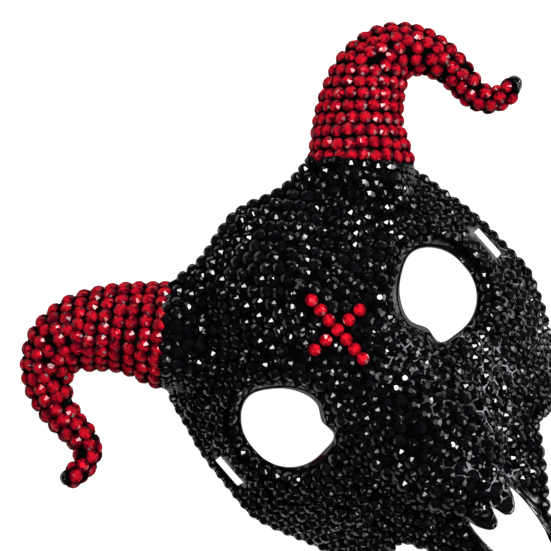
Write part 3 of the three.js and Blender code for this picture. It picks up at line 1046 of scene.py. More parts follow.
@dataclass(frozen=True)
class StoneSetter:
    """Makes one mesh of many stones on their seats, each set with a main facet about one way."""

    cut: StoneCut = StoneCut()
    set_towards: tuple[float, float, float] = (0.94, -0.342, 0.0)
    set_spread: float = 7
    dulling: float = 0.75
    clear_tables: float = 0.14
    hazy: float = 0.04

    def build(self, name: str, seats: StoneSeats, seed: int, scale: float = 1.0) -> bpy.types.Object:
        """Faceted stones on their seats.

        Formula: each stone's corners along two directions across the seat's normal and the normal
        itself. A main facet's middle faces the way the stones are set, give or take a random turn.
        UV is the place across the stone, from 0 to 1, and each stone and facet has a random tone.

        Args:
            name: name of the piece.
            seats: where the stones sit.
            seed: start of the random numbers.
            scale: size of the stones against the usual one.

        Returns:
            The piece, in the scene.
        """
        rng = np.random.default_rng(seed)
        shape, facets = self.cut.points() * scale, self.cut.facets()
        count, corners = len(seats.places), len(shape)
        normal = seats.normals
        way = np.array(self.set_towards)
        one = unit(way - normal * (normal @ way)[:, None])
        two = np.cross(normal, one)
        turn = math.pi / self.cut.mains + np.radians(rng.normal(0, self.set_spread, count))[:, None]
        along_x = one * np.cos(turn) - two * np.sin(turn)
        along_y = np.cross(normal, along_x)
        axes = np.stack([along_x, along_y, normal], 1)
        points = seats.places[:, None] + np.einsum("ck,nkj->ncj", shape, axes)
        loops = np.concatenate(facets)
        sizes = np.array([len(f) for f in facets])
        mesh = bpy.data.meshes.new(name)
        mesh.vertices.add(count * corners)
        mesh.vertices.foreach_set("co", (points * MM).astype(np.float32).ravel())
        every = (loops + corners * np.arange(count)[:, None]).ravel()
        mesh.loops.add(len(every))
        mesh.loops.foreach_set("vertex_index", every.astype(np.int32))
        mesh.polygons.add(count * len(facets))
        totals = np.tile(sizes, count)
        mesh.polygons.foreach_set("loop_start", (np.cumsum(totals) - totals).astype(np.int32))
        mesh.polygons.foreach_set("loop_total", totals.astype(np.int32))
        across = 0.5 + shape[loops, :2] / (2 * self.cut.radius * scale)
        layer = mesh.uv_layers.new(name="stone")
        layer.data.foreach_set("uv", np.tile(across, (count, 1)).astype(np.float32).ravel())
        tones = {"stone_tone": np.repeat(rng.random(count), len(facets)),
                 "facet_tone": rng.random(count * len(facets)),
                 "front": np.tile(self.cut.front(), count)}
        gloss = self.cut.gloss() * (1 - self.dulling * rng.random((count, len(facets))))
        gloss[:, -1] = np.where(rng.random(count) < self.clear_tables, 1.0, self.hazy)
        for label, values in {**tones, "gloss": gloss.ravel()}.items():
            data = mesh.attributes.new(label, "FLOAT", "FACE").data
            data.foreach_set("value", values.astype(np.float32))
        mesh.update(calc_edges=True)
        shading = np.einsum("lk,nkj->nlj", self.cut.corner_normals(), axes)
        mesh.normals_split_custom_set(shading.reshape(-1, 3).tolist())
        return linked(name, mesh)


@dataclass(frozen=True)
class CrossPlan:
    """The red cross: a long row of stones down the forehead and a short one across it."""

    centre: tuple[float, float] = (0.6, 19.3)
    long_pitch: float = 5.15
    short_pitch: float = 5.85
    long_steps: tuple[int, ...] = (-3, -2, -1, 0, 1, 2, 3)
    short_steps: tuple[int, ...] = (-2, -1, 1, 2)

    def places(self, shape: FaceShape) -> np.ndarray:
        """Middles of the stones on the face.

        Args:
            shape: the face that they lie on.

        Returns:
            The middles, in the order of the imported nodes.
        """
        x, y = self.centre
        flat = [(x, y + k * self.long_pitch) for k in self.long_steps]
        flat += [(x + k * self.short_pitch, y) for k in self.short_steps]
        xs, ys = np.array(flat).T
        return np.column_stack([xs, ys, shape.height(xs, ys)])


@dataclass(frozen=True)
class BlackField:
    """The black stones of the face: rows along its edges and the eye holes, and the field between.

    A value by hand holds the right one first. A bare band of an eye hole is the hand that it is on,
    its first and last direction in degrees, and its width.
    """

    shape: FaceShape = FaceShape()
    outline: Outline = Outline()
    packer: StonePacker = StonePacker()
    top_in: float = 0.0
    side_in: tuple[float, float] = (-0.2, 0.9)
    top_from: tuple[float, float] = (46, 60)
    floor_gap: float = 0.35
    row_pitch: float = 5.45
    eye_in: float = 3.1
    arm_gap: float = 3.6
    prong_gap: float = 2.4
    prong_side: float = 11
    cross_gap: float = 4.9
    slot_gaps: tuple[float, float] = (2.4, 1.3)
    slot_share: float = 0.7
    nose_from: float = -66
    edge_gap: float = 0.4
    stone_half: float = 2.5
    row_apart: float = 4.8
    probe: float = 0.3
    climb: float = 0.1
    climbs: int = 40
    skin_below: float = 0.4
    reach: float = 5.55
    layings: int = 3
    band_full: float = 0.55
    bands: tuple[tuple[Hand, float, float, float], ...] = (
        (Hand.RIGHT, -25, 55, 4.2), (Hand.RIGHT, 120, 175, 2.2), (Hand.LEFT, 225, 300, 2.0),
    )

    def on_face(self, flat: np.ndarray) -> np.ndarray:
        """Places of the outer side over flat ones."""
        return np.column_stack([flat, self.shape.height(flat[:, 0], flat[:, 1])])

    def slot_gap(self, x: np.ndarray) -> np.ndarray:
        """Least distance of a stone's middle from the ribbon slot, by the hand that x is on."""
        return np.where(x > 0, *self.slot_gaps)

    def low_enough(self, flat: np.ndarray) -> np.ndarray:
        """How far a stone's lowest point clears the floor's gap.

        Formula: the skin's height, less half a stone times the sine of the skin's slope.

        Args:
            flat: places across and up the face.

        Returns:
            The distances, negative where the stone is too low.
        """
        steep = np.hypot(*self.shape.slope(*flat.T))
        sine = steep / np.hypot(steep, 1)
        return self.shape.height(*flat.T) - self.stone_half * sine - self.floor_gap

    def edge_row(self, hand: Hand) -> np.ndarray:
        """Places along the outline on one hand, from the top of the forehead to the nostril's arm.

        Formula: each point of the outline is moved inward along the rise of the distance by the
        row's distance, and further in small steps until a stone clears the floor.

        Args:
            hand: side of the mask.

        Returns:
            The places on the skin.
        """
        right = [self.outline.run(points) for points in (
            self.outline.top, (self.outline.top[-1], self.outline.side[0]), self.outline.side,
            self.outline.arm_outer)]
        moved = np.concatenate(right)[:-2]
        share = smoothstep(*self.top_from, moved[:, 1])
        side_in = self.side_in[hand is Hand.LEFT]
        wanted = self.top_in * share + side_in * (1 - share)
        for _ in range(3):
            rise = uphill(self.outline.inside, moved, self.probe)
            moved = moved + rise * (wanted - self.outline.inside(*moved.T))[:, None]
        for _ in range(self.climbs):
            moved = moved + rise * self.climb * (self.low_enough(moved) < 0)[:, None]
        return self.on_face(moved) * (hand.value, 1, 1)

    def eye_row(self, hand: Hand) -> np.ndarray:
        """Row round one eye hole.

        Formula: the hole's edge, widened by the row's distance, or by half a stone and the width of
        a bare band where that is more; a band fades out over the outer part of its half.

        Args:
            hand: side of the mask.

        Returns:
            The places on the skin.
        """
        degrees = np.arange(0, 360, 2.0)
        wide = np.full(len(degrees), self.eye_in)
        for side, first, last, width in self.bands:
            if side is hand:
                middle, half = (first + last) / 2, (last - first) / 2
                off = np.abs(np.mod(degrees - middle + 180, 360) - 180)
                share = 1 - smoothstep(half * self.band_full, half, off)
                wide = np.maximum(wide, (width + self.stone_half) * share)
        eye = self.shape.eye
        mirrored = degrees if hand is Hand.RIGHT else 180 - degrees
        radius = eye.radius(mirrored) + wide
        turn = np.radians(mirrored)
        flat = np.stack([hand.value * (eye.x + radius * np.cos(turn)), eye.y + radius * np.sin(turn)], 1)
        return spaced(self.on_face(flat), self.row_pitch, closed=True)

    def allowed(self, places: np.ndarray, cross: np.ndarray) -> tuple[np.ndarray, np.ndarray]:
        """Where a stone may lie, and the distance from the nearest edge.

        Args:
            places: places on the face's skin.
            cross: middles of the cross's stones.

        Returns:
            Whether each place may take a stone, and its distance from the edge.
        """
        x, y = places[:, 0], places[:, 1]
        outer = places[:, 2] > self.shape.height(x, y) - self.skin_below
        inside = self.outline.inside(x, y)
        away, _ = self.shape.eye.place(np.abs(x), y)
        low = self.low_enough(places[:, :2]) >= 0
        clear = np.linalg.norm(places[:, None] - cross, axis=2).min(1) >= self.cross_gap
        gap = np.where(np.abs(x) < self.prong_side, self.prong_gap, self.arm_gap)
        nose = (y > self.nose_from) | (inside > gap)
        slot = self.outline.slot(x, y) > self.slot_gap(x)
        good = outer & low & clear & nose & slot & (inside > self.edge_gap) & (away > self.eye_in)
        return good, np.minimum(inside, away)

    def seats(self, skin: Skin, cross: np.ndarray) -> StoneSeats:
        """All seats on the face: the rows first, then the field between them, evened out.

        Args:
            skin: the face.
            cross: middles of the cross's stones.

        Returns:
            The seats of the black stones.
        """
        edge_line = np.concatenate([self.edge_row(Hand.LEFT)[::-1], self.edge_row(Hand.RIGHT)])
        rows = np.concatenate([
            spaced(edge_line, self.row_pitch), self.eye_row(Hand.RIGHT), self.eye_row(Hand.LEFT)])
        slot = self.outline.slot(rows[:, 0], rows[:, 1]) > self.slot_gap(rows[:, 0]) * self.slot_share
        rows = apart(rows[slot], self.row_apart)
        candidates = skin.scatter(self.packer.spacing, Seed.FIELD)
        good, edge = self.allowed(candidates, cross)
        fixed = np.concatenate([rows, cross])
        loose = np.empty((0, 3))
        for _ in range(self.layings):
            laid = np.concatenate([fixed, loose])
            loose = np.concatenate([loose, self.packer.fill(laid, candidates[good], edge[good])])
            loose = self.packer.relax(skin, fixed, loose, self.reach)
        good, _ = self.allowed(loose, cross + self.packer.far)
        LOG.info("black stones: %d in rows, %d between, %d dropped", len(rows), len(loose), (~good).sum())
        return self.packer.seat(skin, np.concatenate([rows, loose[good]]), Seed.FIELD_TILT)


@dataclass(frozen=True)
class RedField:
    """The red stones of one horn: rings all along it, and a few more in the gaps between them.

    The rings' planes face level, by the seam, and turn to face along the horn over the stations
    level_to. Where the side crosses a plane is searched over a length in stations and a number of
    places.
    """

    horn: HornSkin
    packer: StonePacker = StonePacker(pitch=4.6, rounds=5, edge_pull=0.02)
    first: float = 2.6
    ring_pitch: float = 5.3
    in_ring: float = 5.35
    outer_share: float = 0.75
    low_angle: float = -38
    high_angle: float = 218
    bare_tip: float = 5.0
    reach: float = 5.2
    layings: int = 2
    level: tuple[float, float] = (0.662, 0.75)
    level_to: tuple[float, float] = (2.2, 4.6)
    fineness: int = 600
    least_step: float = 1e-4
    least_station: float = 0.02
    search: tuple[float, int] = (1.4, 57)
    ring_fineness: int = 120
    ring_apart: float = 4.4
    spacing: float = 0.7
    back_normal: float = -0.45
    stray: float = 0.12
    tilt: float = 3.5
    stone_half: float = 2.5
    stone_tall: float = 1.9
    floor_gap: float = 0.1
    batches: int = 20

    def facing(self, station: np.ndarray) -> tuple[np.ndarray, np.ndarray]:
        """How the rings' planes stand.

        Args:
            station: places along the horn, in stations.

        Returns:
            Middles of the rings and the directions that their planes face.
        """
        centre, across, _ = self.horn.frame(station)
        own = np.stack([-across[:, 1], across[:, 0], np.zeros(len(station))], 1)
        share = smoothstep(self.level_to[0], self.level_to[1], station)[:, None]
        return centre, unit(np.array([*self.level, 0]) * (1 - share) + own * share)

    def line(self) -> tuple[np.ndarray, np.ndarray]:
        """Stations in small steps and the way up to each, on the outer side of the horn's bends.

        Formula: the middle line's step across the rings' planes, plus the planes' turn in that
        step times a share of the horn's half-width.

        Returns:
            The stations and the lengths up to them.
        """
        stations = np.linspace(0, len(self.horn.size.stations) - 0.5, self.fineness)
        middle, facing = self.facing(stations)
        steps = np.maximum((np.diff(middle, axis=0) * facing[1:]).sum(1), self.least_step)
        turn = np.linalg.norm(np.diff(facing, axis=0), axis=1)
        half, _ = self.horn.radii(stations[1:])
        return stations, np.concatenate([[0], np.cumsum(steps + turn * half * self.outer_share)])

    def oval(self, station: float, turns: np.ndarray) -> np.ndarray:
        """Points round the horn in the plane of one ring.

        Formula: the plane goes through the middle line at the station and faces along a mixture of
        the seam's direction, by the seam, and the line's own direction, further on; each point is
        where the horn's side crosses that plane, read off between places along the side.

        Args:
            station: place of the ring's middle along the horn.
            turns: places round the ring, in radians.

        Returns:
            One point for each turn.
        """
        reach, count = self.search
        along_side = np.clip(station + np.linspace(-reach, reach, count), self.least_station, None)
        centre, facing = self.facing(np.array([station]))
        grid = np.repeat(along_side, len(turns))
        side = self.horn.points(grid, np.tile(turns, len(along_side)), np.ones(len(grid)))
        side = side * (self.horn.hand.value, 1, 1)
        ahead = ((side - centre) @ facing[0]).reshape(len(along_side), len(turns))
        crossing = np.abs(ahead).argmin(0)
        return self.horn.points(along_side[crossing], turns, np.ones(len(turns)))

    def rings(self) -> np.ndarray:
        """Places in rings round the horn.

        Formula: the rings stand even lengths apart along the line, and within a ring the stones
        stand even lengths apart along the oval, from one bare edge at the back to the other.

        Returns:
            The places, ring by ring.
        """
        stations, run = self.line()
        found = []
        turns = np.radians(np.linspace(self.low_angle, self.high_angle, self.ring_fineness))
        for length in np.arange(self.first, run[-1] - self.bare_tip, self.ring_pitch):
            station = float(np.interp(length, run, stations))
            found.append(spaced(self.oval(station, turns), self.in_ring))
        return np.concatenate(found)

    def seats(self, skin: Skin, seed: int) -> StoneSeats:
        """All seats on the horn.

        Args:
            skin: the horn.
            seed: start of the random numbers.

        Returns:
            The seats of the red stones.
        """
        rng = np.random.default_rng(seed)
        rings = apart(self.rings(), self.ring_apart)
        candidates = skin.scatter(self.spacing, seed + 1)
        _, normal = skin.nearest(candidates)
        stations, run = self.line()
        middle = self.horn.centre(stations) * (self.horn.hand.value, 1, 1)
        nearest = np.concatenate([
            np.linalg.norm(part[:, None] - middle, axis=2).argmin(1)
            for part in np.array_split(candidates, self.batches)])
        length = run[nearest]
        good = (length > self.first) & (length < run[-1] - self.bare_tip)
        good &= normal[:, 2] > self.back_normal
        places = rings
        for _ in range(self.layings):
            loose = self.packer.fill(places, candidates[good], length[good] * 0)
            places = np.concatenate([places, loose])
            places = self.packer.relax(skin, rings[:1], places, self.reach)
        places = places + rng.normal(0, self.stray, places.shape)
        LOG.info("red stones: %d in rings, %d in all", len(rings), len(places))
        seats = self.packer.seat(skin, places, seed + 2, self.tilt)
        back, up = seats.places[:, 2], seats.normals[:, 2]
        lowest = np.minimum(back - self.stone_half * np.sqrt(1 - up**2), back + self.stone_tall * up)
        return seats.split(lowest > self.floor_gap)


Socket = bpy.types.NodeSocket


def add(tree: bpy.types.NodeTree, kind: str, inputs: dict[str | int, object] | None = None,
        **settings: object) -> bpy.types.Node:
    """Adds a node with its settings, its values and its links.

    Args:
        tree: the node tree.
        kind: Blender's name of the node's type, without its first word.
        inputs: for each input by name or number, a constant or the output that is linked to it.
        settings: the node's own properties.

    Returns:
        The node.
    """
    node = tree.nodes.new(f"ShaderNode{kind}")
    for name, value in settings.items():
        setattr(node, name, value)
    for name, value in (inputs or {}).items():
        if isinstance(value, Socket):
            tree.links.new(value, node.inputs[name])
        else:
            node.inputs[name].default_value = value
    return node


def stored(tree: bpy.types.NodeTree, name: str) -> Socket:
    """Value of one of the mesh's attributes."""
    return add(tree, "Attribute", attribute_name=name).outputs["Fac"]


def noise(tree: bpy.types.NodeTree, grain_mm: float, detail: float = 2.0) -> Socket:
    """Even noise through the piece, with grains of a size in millimetres."""
    place = add(tree, "TexCoord").outputs["Object"]
    return add(tree, "TexNoise", {"Vector": place, "Scale": 1 / (grain_mm * MM), "Detail": detail}).outputs[0]


def times(tree: bpy.types.NodeTree, *factors: Socket) -> Socket:
    """Multiplies values.

    Args:
        tree: the node tree.
        factors: the values.

    Returns:
        Their product.
    """
    product = factors[0]
    for factor in factors[1:]:
        product = add(tree, "Math", {0: product, 1: factor}, operation="MULTIPLY").outputs[0]
    return product


def spread(tree: bpy.types.NodeTree, value: Socket, start: tuple[float, float],
           end: tuple[float, float] = (0.0, 1.0)) -> Socket:
    """Straight change of a value from the range start to the range end, held at their ends."""
    ends = {"From Min": start[0], "From Max": start[1], "To Min": end[0], "To Max": end[1]}
    return add(tree, "MapRange", {"Value": value, **ends}).outputs[0]


def mixed(tree: bpy.types.NodeTree, share: Socket, first: object, second: object) -> Socket:
    """Colour between two, the second where the share is 1; the node's colours are 6 and 7."""
    return add(tree, "Mix", {"Factor": share, 6: first, 7: second}, data_type="RGBA").outputs[2]


@dataclass(frozen=True)
class Finish:
    """A finish of one piece; its subclasses add what the eye sees of it."""

    name: str

    def shade(self, tree: bpy.types.NodeTree) -> bpy.types.Node:
        """The finish's shader node, with what feeds it."""
        raise NotImplementedError

    def dress(self, piece: bpy.types.Object) -> None:
        """Gives a piece this finish alone.

        Args:
            piece: what is dressed.
        """
        material = bpy.data.materials.new(self.name)
        material.use_nodes = True
        tree = material.node_tree
        tree.nodes.clear()
        add(tree, "OutputMaterial", {"Surface": self.shade(tree).outputs[0]})
        piece.data.materials.append(material)


@dataclass(frozen=True)
class BlackLacquer(Finish):
    """Black lacquer sprayed on moulded plastic: deep gloss where bare, dull with glue by the stones, whose
    threads carry a painted sheen.
    """

    name: str = "sprayed_black_lacquer"
    colour: str = "#050506"
    glue: str = "#020202"
    # Colour of the threads' painted sheen: light caught by the glue between the stones.
    thread_sheen: str = "#6a6a6e"
    peel_mm: float = 2.4
    peel_depth_mm: float = 0.1
    peel_strength: float = 0.12
    speck_mm: float = 0.8
    speck_ends: tuple[float, float] = (0.35, 0.65)
    roughness: tuple[float, float] = (0.4, 0.7)
    thread_mm: float = 4.2
    patch_mm: float = 22
    thread_ends: tuple[float, float] = (0.03, 0.09)
    patch_ends: tuple[float, float] = (0.48, 0.6)
    # Where the painted sheen fades out: across towards the left cheek and up towards the forehead.
    across_mm: tuple[float, float] = (-25, -5)
    down_mm: tuple[float, float] = (12, -12)

    def glue_with_painted_sheen(self, tree: bpy.types.NodeTree) -> Socket:
        """Glue with a painted sheen: pale threads stand in for light caught by the glue between the stones.

        Formula: pale where the distance to the edge of a Voronoi pattern's cell is small and a wide
        noise is high, fading out towards the forehead and the left cheek, so that the painted sheen stays on
        the nose and the right cheek.

        Args:
            tree: the node tree.

        Returns:
            Colour of the glue, with its painted sheen.
        """
        place = add(tree, "TexCoord").outputs["Object"]
        cells = add(tree, "TexVoronoi", {"Vector": place, "Scale": 1 / (self.thread_mm * MM)},
                    feature="DISTANCE_TO_EDGE").outputs["Distance"]
        parts = add(tree, "SeparateXYZ", {0: place}).outputs
        pale = times(
            tree,
            spread(tree, cells, self.thread_ends, (1.0, 0.0)),
            spread(tree, noise(tree, self.patch_mm), self.patch_ends),
            spread(tree, parts[0], tuple(mm * MM for mm in self.across_mm)),
            spread(tree, parts[1], tuple(mm * MM for mm in self.down_mm)),
        )
        return mixed(tree, pale, linear(self.glue), linear(self.thread_sheen))

    def shade(self, tree: bpy.types.NodeTree) -> bpy.types.Node:
        """Black body with a clear gloss only where the skin's attribute says bare, and faint peel.

        Args:
            tree: the node tree.

        Returns:
            The shader.
        """
        bare = stored(tree, "bare")
        dull = spread(tree, noise(tree, self.speck_mm, 3.0), self.speck_ends, self.roughness)
        lift = add(tree, "Bump", {"Height": noise(tree, self.peel_mm), "Strength": self.peel_strength,
                                  "Distance": self.peel_depth_mm * MM}).outputs[0]
        # By the stones the base colour is the glue with its painted sheen.
        return add(tree, "BsdfPrincipled", {
            "Base Color": mixed(tree, bare, self.glue_with_painted_sheen(tree), linear(self.colour)), "Roughness": dull,
            "Specular IOR Level": 0.0, "Coat Weight": bare, "Coat Roughness": 0.05, "Coat IOR": 1.5,
            "Normal": lift, "Coat Normal": lift})


@dataclass(frozen=True)
class JetResin(Finish):
    """Moulded jet resin: opaque black facets, so smooth that each one shines or stays dark."""

    name: str = "moulded_jet_resin"
    dark: str = "#010102"
    light: str = "#08080a"
    ripple_mm: float = 1.6
    ripple_depth_mm: float = 0.03
    ripple_strength: float = 0.25

    def shade(self, tree: bpy.types.NodeTree) -> bpy.types.Node:
        """Near-black body whose tone steps from facet to facet, under a clear sharp gloss.

        Args:
            tree: the node tree.

        Returns:
            The shader.
        """
        ripple = noise(tree, self.ripple_mm, 1.0)
        lift = add(tree, "Bump", {"Height": ripple, "Strength": self.ripple_strength,
                                  "Distance": self.ripple_depth_mm * MM}).outputs[0]
        tone = mixed(tree, stored(tree, "facet_tone"), linear(self.dark), linear(self.light))
        return add(tree, "BsdfPrincipled", {
            "Base Color": tone, "Roughness": 0.5, "Specular IOR Level": 0.0,
            "Coat Weight": stored(tree, "gloss"), "Coat Roughness": 0.05, "Coat IOR": 1.5,
            "Coat Normal": lift})


@dataclass(frozen=True)
class FoiledRedResin(Finish):
    """Clear red resin over a mirror foil, its light painted into the colour: bright wedges at the middle,
    painted shade towards the rim.
    """

    name: str = "foil_backed_red_resin"
    # Painted foil light: bright at the stone's middle, through the middle colour, to painted shade at the
    # rim.
    bright: str = "#920818"
    middle: str = "#42030e"
    rim: str = "#1a0108"
    stops: tuple[float, float, float] = (0.1, 0.45, 0.85)
    wedges: float = 12
    contrast: float = 0.36
    tint: float = 0.2
    foil_edge: str = "#a01c38"
    # Share of the painted foil light kept on the side facets; the rest is painted shade in the rim colour.
    side_shown: float = 0.3
    front_mirror: float = 0.6
    side_mirror: float = 0.03
    edge_mirror: float = 0.1
    edge_ends: tuple[float, float] = (0.25, 0.6)

    def colour(self, tree: bpy.types.NodeTree, front: Socket) -> Socket:
        """Painted foil reflections and shade, from the way out of the stone's middle and from a random tone
        of each wedge.

        Formula: the turn round the stone's own middle, times the wedges over a full turn, cut to a
        whole number and put with the stone's tone into white noise; the radius less a share of that
        noise and of the facet's tone runs through the colours from bright to rim.

        Args:
            tree: the node tree.
            front: share of the foil that shows.

        Returns:
            The colour.
        """
        across = add(tree, "UVMap", uv_map="stone").outputs[0]
        centred = add(tree, "VectorMath", {0: across, 1: (0.5, 0.5, 0)}, operation="SUBTRACT").outputs[0]
        radius = add(tree, "VectorMath", {0: centred}, operation="LENGTH").outputs["Value"]
        parts = add(tree, "SeparateXYZ", {0: centred}).outputs
        turn = add(tree, "Math", {0: parts[1], 1: parts[0]}, operation="ARCTAN2").outputs[0]
        wedge = add(tree, "Math", {0: turn, 1: self.wedges / (2 * math.pi)}, operation="MULTIPLY").outputs[0]
        whole = add(tree, "Math", {0: wedge}, operation="FLOOR").outputs[0]
        key = add(tree, "CombineXYZ", {0: whole, 1: stored(tree, "stone_tone")}).outputs[0]
        random = add(tree, "TexWhiteNoise", {"Vector": key}, noise_dimensions="3D").outputs[0]
        tones = add(tree, "Math", {0: random, 1: stored(tree, "facet_tone")}, operation="ADD").outputs[0]
        shift = add(tree, "Math", {0: tones, 1: -self.contrast, 2: self.contrast},
                    operation="MULTIPLY_ADD").outputs[0]
        ramp = add(tree, "ValToRGB", {0: add(tree, "Math", {0: radius, 1: shift}).outputs[0]})
        steps = ramp.color_ramp.elements
        steps.new(self.stops[1])
        for step, stop, colour in zip(steps, self.stops, (self.bright, self.middle, self.rim)):
            step.position, step.color = stop, linear(colour)
        # Side facets fall towards the rim colour: painted shade where the foil's light doesn't show.
        painted_light_share = spread(tree, front, (0.0, 1.0), (self.side_shown, 1.0))
        return mixed(tree, painted_light_share, linear(self.rim), ramp.outputs[0])

    def shade(self, tree: bpy.types.NodeTree) -> bpy.types.Node:
        """The coloured foil under a gloss that fades where a facet is seen from its side.

        Args:
            tree: the node tree.

        Returns:
            The shader.
        """
        front = stored(tree, "front")
        facing = add(tree, "LayerWeight", {"Blend": 0.5}).outputs["Facing"]
        coat = times(
            tree,
            stored(tree, "gloss"),
            spread(tree, front, (0.0, 1.0), (self.side_mirror, self.front_mirror)),
            spread(tree, facing, self.edge_ends, (1.0, self.edge_mirror)),
        )
        return add(tree, "BsdfPrincipled", {
            "Base Color": self.colour(tree, front), "Metallic": self.tint, "Roughness": 0.3,
            "Specular IOR Level": 0.0, "Specular Tint": linear(self.foil_edge), "Coat Weight": coat,
            "Coat Roughness": 0.04, "Coat IOR": 1.5})


@dataclass(frozen=True)
class PaleFloor(Finish):
    """White acrylic table lit from below, so that it stays white round a dark object."""

    name: str = "lit_white_acrylic"
    colour: str = "#5a5a5a"
    glow: float = 1.0

    def shade(self, tree: bpy.types.NodeTree) -> bpy.types.Node:
        """Matt white with an even glow.

        Args:
            tree: the node tree.

        Returns:
            The shader.
        """
        return add(tree, "BsdfPrincipled", {
            "Base Color": linear(self.colour), "Roughness": 0.7, "Emission Color": linear("#ffffff"),
            "Emission Strength": self.glow})


@dataclass(frozen=True)
class Softbox:
    """One soft light: where it stands from the mask's middle, its size and its power.

    Its lean from straight up, its direction and its own turn are in degrees.
    """

    name: str
    lean: float
    towards: float
    distance: float
    size: tuple[float, float]
    power: float
    turn: float = 0
    colour: str = "#ffffff"

    def place(self, target: Vector) -> None:
        """Puts the light on a sphere round the target, facing it.

        Args:
            target: middle of the mask, in metres.
        """
        lean, towards = math.radians(self.lean), math.radians(self.towards)
        way = Vector((math.sin(lean) * math.cos(towards), math.sin(lean) * math.sin(towards),
                      math.cos(lean)))
        light = bpy.data.lights.new(self.name, "AREA")
        light.shape = "RECTANGLE"
        light.size, light.size_y = self.size
        light.energy = self.power
        light.color = linear(self.colour)[:3]
        lamp = linked(self.name, light)
        lamp.location = target + way * self.distance
        turn = Quaternion((0, 0, 1), math.radians(self.turn))
        lamp.rotation_euler = (way.to_track_quat("Z", "Y") @ turn).to_euler()


@dataclass(frozen=True)
class Studio:
    """Floor, lights and the camera straight above.

    The sparkles are small lamps all round, each a golden turn from the last, which light single
    facets; their leans go up in steps and start again.
    """

    floor_half: float = 3.0
    world: float = 0.03
    target: tuple[float, float, float] = (0, 0, 0.03)
    camera_place: tuple[float, float, float] = (-3.5, 51.6, 750)
    camera_turn: float = -41.44
    lens: float = 113.97
    sensor: float = 36
    lights: tuple[Softbox, ...] = (
        Softbox("key", 26, 50, 1.2, (0.8, 0.32), 32, 100),
        Softbox("right", 38, -24, 1.3, (0.34, 0.26), 4.5),
        Softbox("wide_low", 62, -62, 1.5, (1.1, 0.5), 12),
        Softbox("low_right", 76, -17, 1.4, (0.35, 0.2), 6),
        Softbox("strip_right", 58, -40, 1.4, (0.5, 0.06), 0.75),
        Softbox("strip_back", 66, 95, 1.4, (0.5, 0.06), 0.75),
        Softbox("strip_left", 52, 165, 1.4, (0.06, 0.5), 0.75),
        Softbox("strip_front", 50, -100, 1.4, (0.06, 0.5), 0.75),
    )
    sparkles: int = 14
    sparkle_size: float = 0.1
    sparkle_power: float = 0.5
    sparkle_distance: float = 1.4
    sparkle_leans: tuple[float, ...] = (26, 41, 56, 71)
    golden_turn: float = 137.5

    def build(self) -> None:
        """Adds all that isn't the mask."""
        self.add_floor()
        self.add_lights()
        self.add_camera()

    def add_floor(self) -> None:
        """A flat square floor."""
        half = self.floor_half
        mesh = bpy.data.meshes.new("floor")
        mesh.from_pydata([(-half, -half, 0), (half, -half, 0), (half, half, 0), (-half, half, 0)], [],
                         [(0, 1, 2, 3)])
        floor = linked("floor", mesh)
        PaleFloor().dress(floor)

    def add_lights(self) -> None:
        """The softboxes, the sparkles and a faint even world."""
        world = bpy.data.worlds.new("studio")
        world.use_nodes = True
        background = world.node_tree.nodes["Background"]
        background.inputs["Color"].default_value = linear("#f4f6ff")
        background.inputs["Strength"].default_value = self.world
        bpy.context.scene.world = world
        lamps = [Softbox(f"sparkle_{k}", self.sparkle_leans[k % len(self.sparkle_leans)],
                         self.golden_turn * k, self.sparkle_distance,
                         (self.sparkle_size, self.sparkle_size), self.sparkle_power)
                 for k in range(self.sparkles)]
        for light in (*self.lights, *lamps):
            light.place(Vector(self.target))

    def add_camera(self) -> None:
        """The camera, looking straight down on the mask."""
        camera = bpy.data.cameras.new("camera")
        camera.lens = self.lens
        camera.sensor_width = self.sensor
        eye = linked("camera", camera)
        eye.location = Vector(self.camera_place) * MM
        eye.rotation_euler = (0, 0, math.radians(self.camera_turn))
        bpy.context.scene.camera = eye
        bpy.context.scene.view_settings.view_transform = "Standard"


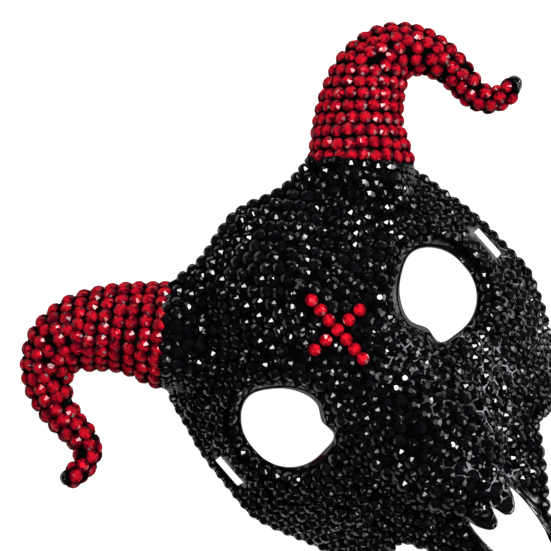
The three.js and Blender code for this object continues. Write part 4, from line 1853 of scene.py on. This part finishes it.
@dataclass(frozen=True)
class Face:
    """The moulded face with its black stones and the red cross."""

    field: BlackField = BlackField()
    cross: CrossPlan = CrossPlan()
    cross_lift: float = 0.8
    cross_tilt: float = 1.5
    # The cross's stones carry the same painted foil light and shade, in brighter colours than the horns'.
    cross_red: FoiledRedResin = FoiledRedResin(
        "cross_red_resin", bright="#a80a1a", middle="#66040f", rim="#2c0209")

    def build(self, setter: StoneSetter) -> list[bpy.types.Object]:
        """Skin, black stones and cross stones of the face.

        Args:
            setter: makes meshes of stones.

        Returns:
            The pieces.
        """
        skin = FaceSkin().build()
        middles = self.cross.places(self.field.shape)
        seats = self.field.seats(skin, middles)
        shell = skin.to_object("face_moulding", np.concatenate([seats.places, middles]))
        BlackLacquer().dress(shell)
        pieces = [finished(shell, Slot.SHELL, "mask_shell")]
        black = setter.build("black_stones", seats, Seed.BLACK_STONES)
        JetResin().dress(black)
        pieces.append(finished(black, Slot.SHELL))
        seats = self.field.packer.seat(skin, middles, Seed.CROSS_TILT, self.cross_tilt)
        raised = StoneSeats(seats.places + seats.normals * self.cross_lift, seats.normals)
        for k in range(len(middles)):
            seat = raised.split(np.array([k]))
            stone = setter.build(f"red_cross_stone_{k + 1:02d}", seat, Seed.CROSS_STONES + k)
            self.cross_red.dress(stone)
            pieces.append(finished(stone, Slot.RED_STONE, f"cross_stone_{k + 1:02d}"))
        return pieces


# Pitch of the rings, bare length at the tip and size of the stones: the horns aren't quite alike.
HORN_LAYING = {Hand.RIGHT: (5.3, 5.0, 1.05), Hand.LEFT: (5.8, 2.0, 1.12)}


@dataclass(frozen=True)
class Horn:
    """One horn with its red stones: its rings' pitch, its bare tip and the stones' size."""

    hand: Hand
    ring_pitch: float
    bare_tip: float
    stone_scale: float

    def build(self, setter: StoneSetter) -> list[bpy.types.Object]:
        """Skin and stones of the horn.

        Args:
            setter: makes meshes of stones.

        Returns:
            The pieces.
        """
        label = self.hand.name.lower()
        moulding = HornSkin(self.hand)
        skin = moulding.build()
        field = RedField(moulding, ring_pitch=self.ring_pitch, bare_tip=self.bare_tip)
        seats = field.seats(skin, Seed.HORN_FIELD + self.hand.value)
        body = skin.to_object(f"horn_moulding_{label}", seats.places)
        BlackLacquer().dress(body)
        pieces = [finished(body, Slot.HORN, f"horn_{label}")]
        seed = Seed.HORN_STONES + self.hand.value
        red = setter.build(f"red_stones_{label}", seats, seed, self.stone_scale)
        FoiledRedResin().dress(red)
        pieces.append(finished(red, Slot.RED_STONE))
        return pieces


def finished(piece: bpy.types.Object, slot: Slot, *nodes: str) -> bpy.types.Object:
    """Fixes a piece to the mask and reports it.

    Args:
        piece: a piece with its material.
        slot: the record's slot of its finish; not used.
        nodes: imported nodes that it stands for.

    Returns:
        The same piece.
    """
    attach(piece, BODY)
    if nodes:
        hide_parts(*nodes)
    LOG.info("%s: %d faces", piece.name, len(piece.data.polygons))
    return piece


def main() -> None:
    """Builds the mask piece by piece, then the studio round it."""
    logging.basicConfig(level=logging.INFO, format="%(message)s")
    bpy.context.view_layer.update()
    setter = StoneSetter()
    pieces = Face().build(setter)
    for hand in Hand:
        pieces += Horn(hand, *HORN_LAYING[hand]).build(setter)
    Studio().build()
    LOG.info("%d pieces", len(pieces))


if __name__ == "__main__":
    main()
